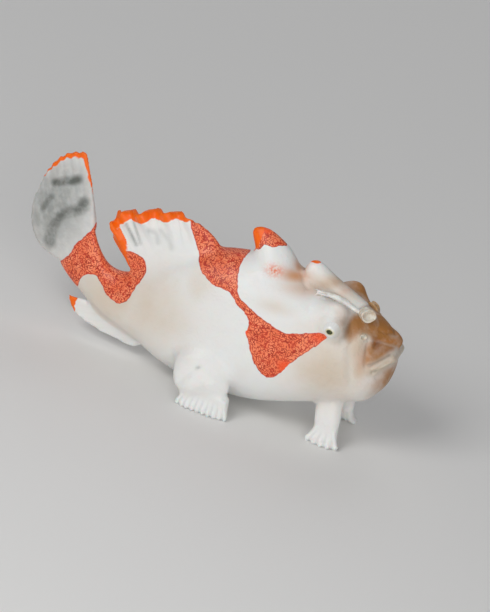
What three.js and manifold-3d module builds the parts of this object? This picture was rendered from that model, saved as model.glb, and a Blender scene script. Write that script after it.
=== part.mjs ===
// A young warty frogfish standing on its four hand-like fins, life size, in millimetres.
// +X runs out of the mouth, +Y to the fish's left, +Z up, and the floor is at z = 0.
import * as THREE from 'three';
import { mergeVertices } from 'three/addons/utils/BufferGeometryUtils.js';
import Module from 'manifold-3d';

const wasm = await Module();
wasm.setup();

// Driving sizes
const SEAM = 0.3; // clear gap between neighbouring pieces
const CUT_SIZE = 80; // edge of the blocks that cut, larger than the fish
const TAIL_BEND_START = -9; // the tail curves to the fish's left from here back
const TAIL_BEND = 0.0062; // sideways bend, in mm for each square mm of length

// The body from tail to mouth. x and z place the middle of each section in the fish's
// middle plane, tall and wide are its half sizes, lean tips its top forwards in degrees,
// and pear draws its top in and its belly out.
const BODY = [
  { x: -25.6, z: 12.9, tall: 4.2, wide: 0.75, lean: 25, pear: 0 },
  { x: -23.7, z: 10.75, tall: 3.5, wide: 1.25, lean: 27, pear: 0 },
  { x: -21.3, z: 9.1, tall: 3.1, wide: 1.8, lean: 22, pear: 0.04 },
  { x: -18.7, z: 8.7, tall: 3.05, wide: 2.4, lean: 12, pear: 0.08 },
  { x: -16.2, z: 8.8, tall: 3.9, wide: 3.0, lean: 3, pear: 0.12 },
  { x: -13.0, z: 9.2, tall: 5.9, wide: 3.9, lean: 0, pear: 0.16 },
  { x: -9.5, z: 10.1, tall: 8.1, wide: 4.9, lean: 0, pear: 0.18 },
  { x: -6.0, z: 10.8, tall: 9.6, wide: 5.7, lean: 0, pear: 0.18 },
  { x: -2.0, z: 11.25, tall: 10.4, wide: 6.4, lean: 0, pear: 0.17 },
  { x: 2.0, z: 11.5, tall: 10.6, wide: 6.8, lean: 0, pear: 0.15 },
  { x: 6.0, z: 11.7, tall: 10.1, wide: 7.0, lean: 0, pear: 0.13 },
  { x: 10.0, z: 12.1, tall: 9.1, wide: 7.0, lean: 0, pear: 0.12 },
  { x: 13.5, z: 12.4, tall: 8.0, wide: 6.7, lean: 0, pear: 0.12 },
  { x: 16.5, z: 12.85, tall: 7.15, wide: 6.1, lean: 0, pear: 0.12 },
  { x: 19.0, z: 13.05, tall: 6.4, wide: 5.4, lean: 0, pear: 0.12 },
  { x: 21.0, z: 13.0, tall: 5.6, wide: 4.5, lean: 0, pear: 0.1 },
  { x: 22.2, z: 13.25, tall: 4.35, wide: 3.5, lean: 0, pear: 0.08 },
  { x: 23.0, z: 13.35, tall: 3.0, wide: 2.4, lean: 0, pear: 0.04 },
  { x: 23.35, z: 13.5, tall: 1.2, wide: 1.0, lean: 0, pear: 0 },
];
const BODY_RINGS = 44;
const RING_CROWDING = 0.82; // under 1 the rings stand closer together towards the face
const BODY_SIDES = 30;
const END_RISE = -0.4; // where a grown body's tail end moves, for each mm that it moves back
const SQUARENESS = 2.3; // 2 would make every section an ellipse

// Swellings of the skin, each a smooth bump that lifts the skin outwards and upwards round
// a point, with its reach along x, y and z. They come in pairs, one on each side, apart
// from the one on the middle plane.
const BROW = { x: 14.4, y: 4.3, z: 19.1, reach: [2.6, 1.8, 2.3], out: 0.7, up: 2.6 };
const CHEEK = { x: 12.2, y: 6.4, z: 12.6, reach: [4.2, 4.2, 4.2], out: 0.4, up: 0 };
const NAPE = { x: 4.4, y: 0, z: 22.0, reach: [3.4, 3.4, 3.4], out: 0, up: 0.7 };
const SWELLINGS = [BROW, CHEEK, NAPE];

// Planes that part the body, as two points of each in the middle plane
const NECK_TOP = { x: -1.4, z: 23 };
const NECK_LOW = { x: 7.2, z: 2 };
const STALK_TOP = { x: -16.6, z: 14 };
const STALK_LOW = { x: -17.6, z: 4 };

// The mouth: its line slopes back and down from the tip of the snout to each corner
const MOUTH_FRONT = { x: 23.1, z: 15.6 };
const MOUTH_CORNER = { x: 19.4, z: 12.1 };
const JAW_ROOT = { x: 17.6, z: 5.5 };
const JAW_GAP = { x: 0.15, z: 0.08 }; // half of the clear gap round the lower jaw
const LIP = { radius: 0.8, sides: 8, steps: 30 };
const LIP_SINK = 0.3; // depth of the middle of the lip under the skin
const LIP_PLACES = 8; // points of the lip's line on each side
const JAW_FOLD = { radius: 0.5, sides: 7, steps: 10 };
const JAW_FOLD_LINE = [[18.4, 17.2], [18.4, 15.6], [18.7, 14.0], [19.3, 12.4]];

// The aim of an eye or a nostril is its direction on the fish's left side
const EYE = { x: 14.1, y: 4.95, z: 17.75, radius: 1.65, aim: [0.14, 0.93, 0.3] };
const EYE_RIM = { radius: 1.8, tube: 0.42, out: 0.45 };
const NOSTRIL_FRONT = {
  x: 17.2, y: 1.8, z: 19.75, outer: 0.66, inner: 0.38, tall: 1.1, pit: 1.0, aim: [0.85, 0.45, 0.2],
};
const NOSTRIL_REAR = {
  x: 18.4, y: 3.6, z: 17.8, outer: 0.55, inner: 0.24, tall: 0.7, pit: 0.6, aim: [0.4, 0.85, 0.3],
};
const NOSTRIL_ROOT = -0.7; // how deep a nostril's wall starts under its place
const NOSTRIL_TAPER = 0.92;

// The form of each fin: its rays, the steps along them, the wave of its margin and how many
// waves it has, how far the membrane is drawn in between rays, half its thickness at the
// margin and what the root adds to it, and how high the rays stand out at root and margin.
const DORSAL_FORM = {
  rays: 12, steps: 8, wave: 0.7, waves: 3, scallop: 0.045,
  edge: 0.28, root: 1.15, taper: 1.6, ridge: 0.06, ridgeGain: 0.16,
};
const ANAL_FORM = {
  rays: 7, steps: 7, wave: 0.3, waves: 1.5, scallop: 0.05,
  edge: 0.27, root: 0.75, taper: 1.4, ridge: 0.06, ridgeGain: 0.14,
};
const CAUDAL_FORM = {
  rays: 9, steps: 11, wave: 0.25, waves: 1.5, scallop: 0.025,
  edge: 0.25, root: 0.42, taper: 1.5, ridge: 0.2, ridgeGain: -0.06,
};
const HAND_FORM = {
  rays: 10, steps: 8, scallop: 0.1,
  edge: 0.34, root: 0.75, taper: 1.5, ridge: 0.14, ridgeGain: 0,
};
const FOOT_FORM = {
  rays: 5, steps: 7, scallop: 0.1,
  edge: 0.34, root: 0.4, taper: 1.5, ridge: 0.14, ridgeGain: 0,
};

// Fin rays in the middle plane, from the first to the last, each from its root to its tip
// through a bend point. The rays between them are spaced evenly.
const CAUDAL = [
  { root: [-26.4, 9.5], bend: [-32.9, 8.9], tip: [-33.6, 16.6] },
  { root: [-24.9, 13.1], bend: [-29.8, 16.8], tip: [-32.0, 22.6] },
  { root: [-23.3, 16.3], bend: [-25.1, 20.6], tip: [-28.0, 25.9] },
];
const DORSAL = [
  { root: [-3.5, 19.0], bend: [-5.0, 21.6], tip: [-6.6, 22.7] },
  { root: [-6.5, 17.5], bend: [-8.7, 21.5], tip: [-10.3, 23.4] },
  { root: [-9.0, 15.8], bend: [-12.2, 20.8], tip: [-14.1, 23.4] },
  { root: [-11.5, 14.0], bend: [-15.4, 18.8], tip: [-18.2, 21.6] },
  { root: [-13.2, 12.4], bend: [-17.8, 16.6], tip: [-21.2, 19.8] },
  { root: [-14.2, 11.0], bend: [-17.6, 14.0], tip: [-20.6, 16.4] },
];
const ANAL = [
  { root: [-10.4, 4.6], bend: [-11.6, 2.6], tip: [-13.4, 1.5] },
  { root: [-13.0, 5.2], bend: [-15.4, 2.5], tip: [-18.6, 1.2] },
  { root: [-15.6, 6.2], bend: [-18.8, 3.4], tip: [-22.8, 2.7] },
  { root: [-17.8, 7.2], bend: [-21.0, 5.1], tip: [-24.8, 4.5] },
];

// The arm is a fleshy limb with an elbow, and the hand is a fan of rays laid on the floor
const ARM = [
  { x: -1.4, y: 3.2, z: 9.2, long: 4.3, thick: 2.4 },
  { x: -1.8, y: 5.8, z: 7.0, long: 4.3, thick: 2.4 },
  { x: -1.5, y: 7.0, z: 5.0, long: 4.1, thick: 1.95 },
  { x: -0.8, y: 7.4, z: 3.4, long: 3.8, thick: 1.5 },
  { x: -0.4, y: 7.5, z: 2.2, long: 3.6, thick: 1.15 },
];
const ARM_SIDES = 20;
const ARM_STEPS = 10;
const HAND = { x: 0.0, root: 2.9, rootY: 7.5, toeY: 9.6, toeZ: 0.3, rootHalf: 3.3, toeHalf: 4.2 };
const LEG = [
  { x: 16.1, y: 2.2, z: 8.4, long: 2.1, thick: 1.6 },
  { x: 16.5, y: 3.2, z: 5.6, long: 2.0, thick: 1.4 },
  { x: 16.9, y: 3.9, z: 3.6, long: 1.9, thick: 1.05 },
  { x: 17.1, y: 4.1, z: 2.3, long: 1.8, thick: 0.8 },
];
const LEG_SIDES = 16;
const LEG_STEPS = 8;
const FOOT = { x: 17.1, root: 2.5, rootY: 4.05, toeY: 5.9, toeZ: 0.3, rootHalf: 1.65, toeHalf: 2.9 };
const BEND_SPREAD = 0.4; // how much of its spread a hand or foot has at its bend
const INSTEP = 0.15; // how far the bend of a hand or foot lies outside its root and over its toes
const TOE_ROUND = 0.9; // how much further out the middle toes reach than the outer ones

// The three spines of the head: the line, the leaning second spine, and the third in its lobe
const SPINE_SIDES = 16;
const LOBE_SIDES = 20;
const SPINE_STEPS = 14;
const SPINE_2 = [
  { x: 16.9, z: 19.7, tall: 1.05, wide: 1.15 },
  { x: 15.2, z: 20.65, tall: 1.2, wide: 1.3 },
  { x: 12.8, z: 21.55, tall: 1.3, wide: 1.35 },
  { x: 10.4, z: 22.25, tall: 1.3, wide: 1.3 },
  { x: 8.6, z: 22.85, tall: 1.1, wide: 1.1 },
  { x: 7.6, z: 23.05, tall: 0.5, wide: 0.5 },
];
const SPINE_3 = [
  { x: 4.2, z: 19.0, tall: 4.4, wide: 4.2 },
  { x: 3.4, z: 21.4, tall: 3.9, wide: 3.5 },
  { x: 2.4, z: 23.0, tall: 3.1, wide: 2.6 },
  { x: 1.4, z: 24.2, tall: 2.2, wide: 1.7 },
  { x: 0.3, z: 25.1, tall: 1.25, wide: 0.9 },
  { x: -0.5, z: 25.6, tall: 0.45, wide: 0.4 },
];
const LURE_LINE = [
  [15.9, -1.6, 19.4],
  [15.2, -1.9, 20.9],
  [13.5, -2.2, 21.35],
  [11.4, -2.6, 21.15],
  [9.4, -2.9, 20.95],
];
const LINE_TUBE = { radius: 0.27, sides: 7, steps: 16 };
const LURE = { x: 8.9, y: -3.0, z: 20.95, radius: 0.45, long: 2.2 };
const SMALL = 1e-3; // step for directions along a surface, as a share of its width or length
const LIMB_LOOK = 0.04; // step along a limb for its direction, as a share of its length

// Small helpers for solids

// A closed three.js geometry as a solid that can be joined and cut
function solidOf(geometry) {
  const bare = geometry.index ? geometry.toNonIndexed() : geometry.clone();
  for (const name of Object.keys(bare.attributes)) {
    if (name !== 'position') bare.deleteAttribute(name);
  }
  const merged = mergeVertices(bare, 1e-4);
  return new wasm.Manifold(new wasm.Mesh({
    numProp: 3,
    vertProperties: merged.attributes.position.array,
    triVerts: new Uint32Array(merged.index.array),
  }));
}

function geometryOf(solid) {
  const mesh = solid.getMesh();
  const geometry = new THREE.BufferGeometry();
  geometry.setAttribute('position', new THREE.BufferAttribute(mesh.vertProperties, 3));
  geometry.setIndex(new THREE.BufferAttribute(mesh.triVerts, 1));
  return geometry;
}

// The largest closed surface of a solid, with no sealed hollow in it
function mainPiece(solid) {
  const pieces = solid.decompose();
  return pieces.reduce((best, piece) => (piece.volume() > best.volume() ? piece : best));
}

// A geometry from a list of points and a list of triangles between them
function faceted(points, triangles) {
  const geometry = new THREE.BufferGeometry();
  const places = points.flatMap((p) => [p.x, p.y, p.z]);
  geometry.setAttribute('position', new THREE.Float32BufferAttribute(places, 3));
  geometry.setIndex(triangles.flat());
  return geometry;
}

// A solid from points and triangles that may all face the wrong way
function outward(points, triangles) {
  const solid = solidOf(faceted(points, triangles));
  if (solid.volume() > 0) return solid;
  return solidOf(faceted(points, triangles.map(([a, b, c]) => [a, c, b])));
}

// A skin over a row of closed rings with the same number of points, capped at both ends
function loft(rings) {
  const sides = rings[0].length;
  const points = rings.flat();
  const triangles = [];
  for (let i = 0; i + 1 < rings.length; i += 1) {
    for (let j = 0; j < sides; j += 1) {
      const a = i * sides + j;
      const b = i * sides + ((j + 1) % sides);
      triangles.push([a, b, b + sides], [a, b + sides, a + sides]);
    }
  }
  const capAt = (ring, start, flip) => {
    const middle = ring.reduce((sum, p) => sum.add(p), new THREE.Vector3()).divideScalar(sides);
    points.push(middle);
    for (let j = 0; j < sides; j += 1) {
      const edge = [start + ((j + 1) % sides), start + j];
      if (flip) edge.reverse();
      triangles.push([points.length - 1, ...edge]);
    }
  };
  capAt(rings[0], 0, false);
  capAt(rings[rings.length - 1], (rings.length - 1) * sides, true);
  return outward(points, triangles);
}

// Values between rows of named numbers, along a smooth curve, for t from 0 to 1
function smoothRow(rows) {
  const keys = Object.keys(rows[0]);
  const times = rows.map((_, i) => i / (rows.length - 1));
  const values = rows.flatMap((row) => keys.map((key) => row[key]));
  const curve = new THREE.CubicInterpolant(times, values, keys.length, new Float64Array(keys.length));
  return (t) => {
    const found = curve.evaluate(Math.min(1, Math.max(0, t)));
    return Object.fromEntries(keys.map((key, i) => [key, found[i]]));
  };
}

// The tail curves to the fish's left, and takes the fins on it along
function bent(point) {
  const back = Math.max(0, TAIL_BEND_START - point.x);
  return new THREE.Vector3(point.x, point.y + TAIL_BEND * back * back, point.z);
}

// A point of the skin after the swellings have lifted it
function swollen(point) {
  const lifted = point.clone();
  const side = Math.sign(point.y);
  for (const s of SWELLINGS) {
    const away = Math.hypot(
      (point.x - s.x) / s.reach[0],
      (Math.abs(point.y) - s.y) / s.reach[1],
      (point.z - s.z) / s.reach[2],
    );
    const share = Math.exp(-away * away);
    lifted.add(new THREE.Vector3(0, side * s.out, s.up).multiplyScalar(share));
  }
  return lifted;
}

const bodyAt = smoothRow(BODY);

// One point of the body's surface, t from tail to mouth and turn round the section,
// grown outwards by some distance
function bodyPoint(t, turn, grow) {
  const s = bodyAt(t);
  const lean = THREE.MathUtils.degToRad(s.lean);
  const squared = (value) => Math.sign(value) * Math.pow(Math.abs(value), 2 / SQUARENESS);
  const high = squared(Math.sin(turn));
  const up = high * (s.tall + grow);
  const out = squared(Math.cos(turn)) * (s.wide + grow) * (1 - s.pear * high);
  return swollen(new THREE.Vector3(s.x + up * Math.sin(lean), out, s.z + up * Math.cos(lean)));
}

// The whole body, with its rings closer together towards the face
function bodySolid(grow) {
  const rings = [];
  for (let i = 0; i <= BODY_RINGS; i += 1) {
    const t = Math.pow(i / BODY_RINGS, RING_CROWDING);
    const ring = [];
    for (let j = 0; j < BODY_SIDES; j += 1) {
      ring.push(bodyPoint(t, (2 * Math.PI * j) / BODY_SIDES, grow));
    }
    rings.push(ring);
  }
  if (grow > 0) {
    rings[0].forEach((p) => p.add(new THREE.Vector3(-grow, 0, grow * END_RISE)));
    rings[BODY_RINGS].forEach((p) => p.add(new THREE.Vector3(grow, 0, 0)));
  }
  return loft(rings.map((ring) => ring.map(bent)));
}

// A block that fills everything on one side of a plane square to the middle plane.
// The plane passes through two points, and side is +1 for the part ahead of it.
function halfSpace(top, low, side, shift) {
  const along = new THREE.Vector2(top.x - low.x, top.z - low.z).normalize();
  const ahead = new THREE.Vector2(along.y, -along.x);
  if (ahead.x < 0) ahead.negate();
  const reach = side * (CUT_SIZE / 2) + shift;
  const block = new THREE.BoxGeometry(CUT_SIZE, CUT_SIZE, CUT_SIZE);
  block.rotateY(-Math.atan2(ahead.y, ahead.x));
  block.translate((top.x + low.x) / 2 + ahead.x * reach, 0, (top.z + low.z) / 2 + ahead.y * reach);
  return solidOf(block);
}

// The wedge of the lower jaw, between the line of the mouth and the root of the jaw
function jawWedge(shiftX, shiftZ) {
  const far = CUT_SIZE / 2;
  const front = new THREE.Vector2(MOUTH_FRONT.x, MOUTH_FRONT.z);
  const corner = new THREE.Vector2(MOUTH_CORNER.x, MOUTH_CORNER.z);
  const ahead = front.clone().sub(corner).add(front);
  const shape = new THREE.Shape([
    ahead,
    corner,
    new THREE.Vector2(JAW_ROOT.x, JAW_ROOT.z),
    new THREE.Vector2(JAW_ROOT.x, -far),
    new THREE.Vector2(far * 2, -far),
  ]);
  const block = new THREE.ExtrudeGeometry(shape, { depth: CUT_SIZE, bevelEnabled: false });
  block.rotateX(Math.PI / 2);
  block.translate(shiftX, CUT_SIZE / 2, shiftZ);
  return solidOf(block);
}

// A tube of round section along a smooth curve through some points
function tube(points, { radius, sides, steps }) {
  const path = new THREE.CatmullRomCurve3(points.map((p) => new THREE.Vector3(...p)));
  const round = new THREE.Shape(
    Array.from({ length: sides }, (_, i) => {
      const turn = (2 * Math.PI * i) / sides;
      return new THREE.Vector2(Math.cos(turn) * radius, Math.sin(turn) * radius);
    }),
  );
  return solidOf(new THREE.ExtrudeGeometry(round, { steps, extrudePath: path, bevelEnabled: false }));
}

// An oval limb or spine lofted through its sections. Each section is square to the line
// through their middles; side is the direction of its width.
function limb(rows, sides, steps, place, grow = 0) {
  const at = smoothRow(rows);
  const rings = [];
  for (let i = 0; i <= steps; i += 1) {
    const t = i / steps;
    const here = place(at(t));
    const before = place(at(Math.max(0, t - LIMB_LOOK)));
    const after = place(at(Math.min(1, t + LIMB_LOOK)));
    const along = after.middle.clone().sub(before.middle).normalize();
    const side = here.side.clone().addScaledVector(along, -here.side.dot(along)).normalize();
    const other = along.clone().cross(side);
    const ring = [];
    for (let j = 0; j < sides; j += 1) {
      const turn = (2 * Math.PI * j) / sides;
      ring.push(here.middle.clone()
        .addScaledVector(side, Math.cos(turn) * (here.sideHalf + grow))
        .addScaledVector(other, Math.sin(turn) * (here.otherHalf + grow)));
    }
    rings.push(ring);
  }
  return loft(rings);
}

// Where the columns of a fin stand across each ray, as shares of its width, and how far
// each rises out of the membrane: 1 on the ray, 0 between two rays
const RAY_STEPS = [0, 0.36, 0.64];
const RAY_RISE = [0, 1, 1];

// A fin as one closed sheet. line gives its middle surface at (across, along, rise), and
// both faces are split alike.
function fin(form, line) {
  const { rays, steps } = form;
  const half = (v) => form.edge + form.root * Math.pow(1 - v, form.taper);
  const ridge = (v) => form.ridge + form.ridgeGain * v;
  const columns = [];
  for (let ray = 0; ray < rays; ray += 1) {
    RAY_STEPS.forEach((share, k) => columns.push({ at: (ray + share) / rays, rise: RAY_RISE[k] }));
  }
  columns.push({ at: 1, rise: 0 });
  const faces = [1, -1].map((face) => columns.flatMap(({ at, rise }) => {
    const row = [];
    for (let i = 0; i <= steps; i += 1) {
      const v = i / steps;
      const near = [Math.max(0, at - SMALL), Math.min(1, at + SMALL)];
      const low = [Math.max(0, v - SMALL), Math.min(1, v + SMALL)];
      const across = line(near[1], v, rise).sub(line(near[0], v, rise));
      const along = line(at, low[1], rise).sub(line(at, low[0], rise));
      const normal = across.cross(along).normalize();
      row.push(line(at, v, rise).addScaledVector(normal, face * (half(v) + ridge(v) * rise)));
    }
    return row;
  }));
  const wide = columns.length;
  const tall = steps + 1;
  const one = (i, j) => i * tall + j;
  const two = (i, j) => wide * tall + one(i, j);
  const triangles = [];
  for (let i = 0; i + 1 < wide; i += 1) {
    for (let j = 0; j + 1 < tall; j += 1) {
      triangles.push([one(i, j), one(i + 1, j), one(i + 1, j + 1)]);
      triangles.push([one(i, j), one(i + 1, j + 1), one(i, j + 1)]);
      triangles.push([two(i, j), two(i + 1, j + 1), two(i + 1, j)]);
      triangles.push([two(i, j), two(i, j + 1), two(i + 1, j + 1)]);
    }
  }
  const strip = (a, b, c, e) => triangles.push([a, c, b], [b, c, e]);
  for (let i = 0; i + 1 < wide; i += 1) {
    strip(one(i, 0), one(i + 1, 0), two(i, 0), two(i + 1, 0));
    strip(one(i + 1, steps), one(i, steps), two(i + 1, steps), two(i, steps));
  }
  for (let j = 0; j + 1 < tall; j += 1) {
    strip(one(0, j + 1), one(0, j), two(0, j + 1), two(0, j));
    strip(one(wide - 1, j), one(wide - 1, j + 1), two(wide - 1, j), two(wide - 1, j + 1));
  }
  return outward(faces.flat(), triangles);
}

// The middle surface of a fin in the middle plane, through its key rays.
// wave swings the margin from side to side, and scallop draws the membrane in between rays.
function medianFin(keys, { wave, waves, scallop }) {
  const at = smoothRow(keys.map(({ root, bend, tip }) => ({
    rootX: root[0], rootZ: root[1], bendX: bend[0], bendZ: bend[1], tipX: tip[0], tipZ: tip[1],
  })));
  return (across, along, rise) => {
    const k = at(across);
    const v = along * (1 - scallop * (1 - rise));
    const a = (1 - v) * (1 - v);
    const b = 2 * v * (1 - v);
    const c = v * v;
    const swing = wave * across * c * Math.sin(across * waves * 2 * Math.PI);
    return bent(new THREE.Vector3(
      a * k.rootX + b * k.bendX + c * k.tipX,
      swing,
      a * k.rootZ + b * k.bendZ + c * k.tipZ,
    ));
  };
}

// A hand or foot: a fan of rays that comes down from the limb and turns outwards on the floor
function footFan(size, scallop, side) {
  return (across, along, rise) => {
    const spread = 2 * across - 1;
    const v = along * (1 - scallop * (1 - rise));
    const a = (1 - v) * (1 - v);
    const b = 2 * v * (1 - v);
    const c = v * v;
    const reach = size.toeY - TOE_ROUND * spread * spread;
    const bendHalf = THREE.MathUtils.lerp(size.rootHalf, size.toeHalf, BEND_SPREAD);
    const x = size.x + spread * (a * size.rootHalf + b * bendHalf + c * size.toeHalf);
    const y = a * size.rootY + b * (size.rootY + INSTEP) + c * reach;
    const z = a * size.root + b * (size.toeZ + INSTEP) + c * size.toeZ;
    return new THREE.Vector3(x, side * y, z);
  };
}

// The pieces

const body = bodySolid(0);
const bodyClear = bodySolid(SEAM);
const floorBlock = new THREE.BoxGeometry(CUT_SIZE * 2, CUT_SIZE, CUT_SIZE);
const belowFloor = solidOf(floorBlock.translate(0, 0, -CUT_SIZE / 2));

// The value between low and high where test turns from true to false
function turningPoint(low, high, test) {
  let from = low;
  let to = high;
  for (let i = 0; i < 40; i += 1) {
    const middle = (from + to) / 2;
    if (test(middle)) from = middle;
    else to = middle;
  }
  return from;
}

// Half width of the body at a place on the head, where its sections stand upright
function halfWidthAt(x, z) {
  const s = bodyAt(turningPoint(0, 1, (t) => bodyAt(t).x < x));
  const up = THREE.MathUtils.clamp((z - s.z) / s.tall, -1, 1);
  const round = Math.pow(1 - Math.pow(Math.abs(up), SQUARENESS), 1 / SQUARENESS);
  return s.wide * round * (1 - s.pear * up);
}

function mouthHeight(x) {
  const slope = (MOUTH_FRONT.z - MOUTH_CORNER.z) / (MOUTH_FRONT.x - MOUTH_CORNER.x);
  return MOUTH_CORNER.z + (x - MOUTH_CORNER.x) * slope;
}

// The lips follow the line where the plane of the mouth meets the face
function lipSolid() {
  const halfMouth = (x) => halfWidthAt(x, mouthHeight(x)) - LIP_SINK;
  const front = turningPoint(MOUTH_CORNER.x, MOUTH_FRONT.x, (x) => halfMouth(x) > 0);
  const points = [];
  for (let i = 0; i <= LIP_PLACES; i += 1) {
    const x = MOUTH_CORNER.x + (front - MOUTH_CORNER.x) * (1 - Math.pow(1 - i / LIP_PLACES, 2));
    points.push([x, i < LIP_PLACES ? halfMouth(x) : 0, mouthHeight(x)]);
  }
  const mirrored = points.slice(0, -1).reverse().map(([x, y, z]) => [x, -y, z]);
  return tube([...points, ...mirrored], LIP);
}

// The rear edge of the upper jaw, a fold down the cheek behind the mouth
function jawFold(side) {
  return tube(JAW_FOLD_LINE.map(([x, z]) => [x, side * halfWidthAt(x, z), z]), JAW_FOLD);
}

// The unit direction of an aim on one side of the fish
function aimOn(side, [x, y, z]) {
  return new THREE.Vector3(x, side * y, z).normalize();
}

// The raised rim round an eye
function eyeRim(side) {
  const ring = new THREE.TorusGeometry(EYE_RIM.radius, EYE_RIM.tube, 7, 18);
  const aim = aimOn(side, EYE.aim);
  ring.applyQuaternion(new THREE.Quaternion().setFromUnitVectors(new THREE.Vector3(0, 0, 1), aim));
  ring.translate(EYE.x, side * EYE.y, EYE.z);
  ring.translate(aim.x * EYE_RIM.out, aim.y * EYE_RIM.out, aim.z * EYE_RIM.out);
  return solidOf(ring);
}

function eyeball(side, grow) {
  const ball = new THREE.SphereGeometry(EYE.radius + grow, 18, 11);
  const aim = aimOn(side, EYE.aim);
  ball.applyQuaternion(new THREE.Quaternion().setFromUnitVectors(new THREE.Vector3(0, 1, 0), aim));
  ball.translate(EYE.x, side * EYE.y, EYE.z);
  return solidOf(ball);
}

// A short open tube for a nostril, as its outside and the pit down it
function nostril(size, side) {
  const profile = (radius, low, high) => {
    const outline = [[0, low], [radius, low], [radius * NOSTRIL_TAPER, high], [0, high]];
    return new THREE.LatheGeometry(outline.map(([r, h]) => new THREE.Vector2(r, h)), 10);
  };
  const turn = new THREE.Quaternion();
  turn.setFromUnitVectors(new THREE.Vector3(0, 1, 0), aimOn(side, size.aim));
  const place = (geometry) => solidOf(
    geometry.applyQuaternion(turn).translate(size.x, side * size.y, size.z),
  );
  return {
    wall: place(profile(size.outer, NOSTRIL_ROOT, size.tall)),
    pit: place(profile(size.inner, size.tall - size.pit, size.tall + SEAM)),
  };
}

const neckCut = (side, shift) => halfSpace(NECK_TOP, NECK_LOW, side, shift);
const stalkCut = (side, shift) => halfSpace(STALK_TOP, STALK_LOW, side, shift);

// Head and lower jaw
let face = body.intersect(neckCut(1, SEAM / 2)).add(lipSolid());
for (const side of [1, -1]) {
  face = face.add(jawFold(side)).add(eyeRim(side));
  const front = nostril(NOSTRIL_FRONT, side);
  const rear = nostril(NOSTRIL_REAR, side);
  face = face.add(front.wall).add(rear.wall).subtract(front.pit).subtract(rear.pit);
  face = face.subtract(eyeball(side, SEAM));
}
const headSolid = mainPiece(face.subtract(jawWedge(-JAW_GAP.x, JAW_GAP.z)));
const jawSolid = mainPiece(face.intersect(jawWedge(JAW_GAP.x, -JAW_GAP.z)));

// Trunk and the stalk of the tail
const torsoSolid = mainPiece(body.intersect(neckCut(-1, -SEAM / 2)).intersect(stalkCut(1, SEAM / 2)));
const stalkSolid = mainPiece(body.intersect(stalkCut(-1, -SEAM / 2)));

// Fins of the middle plane
const dorsalSolid = mainPiece(fin(DORSAL_FORM, medianFin(DORSAL, DORSAL_FORM)).subtract(bodyClear));
const analSolid = mainPiece(fin(ANAL_FORM, medianFin(ANAL, ANAL_FORM)).subtract(bodyClear));
const caudalSolid = mainPiece(fin(CAUDAL_FORM, medianFin(CAUDAL, CAUDAL_FORM)).subtract(bodyClear));

// Limbs
const limbPlace = (side) => (s) => ({
  middle: new THREE.Vector3(s.x, side * s.y, s.z),
  side: new THREE.Vector3(1, 0, 0),
  sideHalf: s.long,
  otherHalf: s.thick,
});

function armSolid(side, grow) {
  return limb(ARM, ARM_SIDES, ARM_STEPS, limbPlace(side), grow);
}

function handSolid(side) {
  const hand = fin(HAND_FORM, footFan(HAND, HAND_FORM.scallop, side));
  return mainPiece(hand.subtract(belowFloor).subtract(armSolid(side, SEAM)));
}

function pelvicSolid(side) {
  const leg = limb(LEG, LEG_SIDES, LEG_STEPS, limbPlace(side));
  const foot = fin(FOOT_FORM, footFan(FOOT, FOOT_FORM.scallop, side));
  return mainPiece(leg.add(foot).subtract(bodyClear).subtract(belowFloor));
}

// Spines of the head
const spinePlace = (s) => ({
  middle: new THREE.Vector3(s.x, 0, s.z),
  side: new THREE.Vector3(0, 1, 0),
  sideHalf: s.wide,
  otherHalf: s.tall,
});

const spine2 = (grow) => limb(SPINE_2, SPINE_SIDES, SPINE_STEPS, spinePlace, grow);
const spine2Clear = spine2(SEAM);
const spine2Solid = mainPiece(spine2(0).subtract(bodyClear));
const lobe = limb(SPINE_3, LOBE_SIDES, SPINE_STEPS, spinePlace);
const spine3Solid = mainPiece(lobe.subtract(bodyClear).subtract(spine2Clear));

// The line with its lure, laid back beside the second spine
function lureSolid() {
  const line = tube(LURE_LINE, LINE_TUBE);
  const lure = new THREE.SphereGeometry(LURE.radius, 9, 7).scale(LURE.long, 1, 1);
  lure.translate(LURE.x, LURE.y, LURE.z);
  return mainPiece(line.add(solidOf(lure)).subtract(bodyClear).subtract(spine2Clear));
}

// Materials
const paint = (color, roughness) => new THREE.MeshStandardMaterial({ color, roughness, metalness: 0 });
const whiteSkin = paint(0xe9e4dd, 0.45);
const clearSkin = paint(0xc9a98c, 0.4);
const finSkin = paint(0xd9d7d2, 0.45);
const redSkin = paint(0xe2503a, 0.5);
const eyeGloss = paint(0xd6cfa8, 0.15);

const fish = new THREE.Group();

function addPiece(name, solid, material) {
  const mesh = new THREE.Mesh(geometryOf(solid), material);
  mesh.name = name;
  fish.add(mesh);
}

addPiece('head', headSolid, whiteSkin);
addPiece('lower_jaw', jawSolid, clearSkin);
addPiece('torso', torsoSolid, whiteSkin);
addPiece('tail_stalk', stalkSolid, redSkin);
addPiece('caudal_fin', caudalSolid, finSkin);
addPiece('dorsal_fin', dorsalSolid, finSkin);
addPiece('anal_fin', analSolid, finSkin);
addPiece('dorsal_spine_2', spine2Solid, whiteSkin);
addPiece('dorsal_spine_3', spine3Solid, whiteSkin);
addPiece('illicium', lureSolid(), clearSkin);
for (const [name, side] of [['right', -1], ['left', 1]]) {
  addPiece(`eye_${name}`, eyeball(side, 0), eyeGloss);
  addPiece(`pectoral_arm_${name}`, mainPiece(armSolid(side, 0).subtract(bodyClear)), whiteSkin);
  addPiece(`pectoral_fin_${name}`, handSolid(side), finSkin);
  addPiece(`pelvic_fin_${name}`, pelvicSolid(side), finSkin);
}

// The origin is under the middle of the fish, on the floor
const centre = new THREE.Box3().setFromObject(fish).getCenter(new THREE.Vector3());
fish.position.set(-centre.x, -centre.y, 0);

export default fish;
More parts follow.
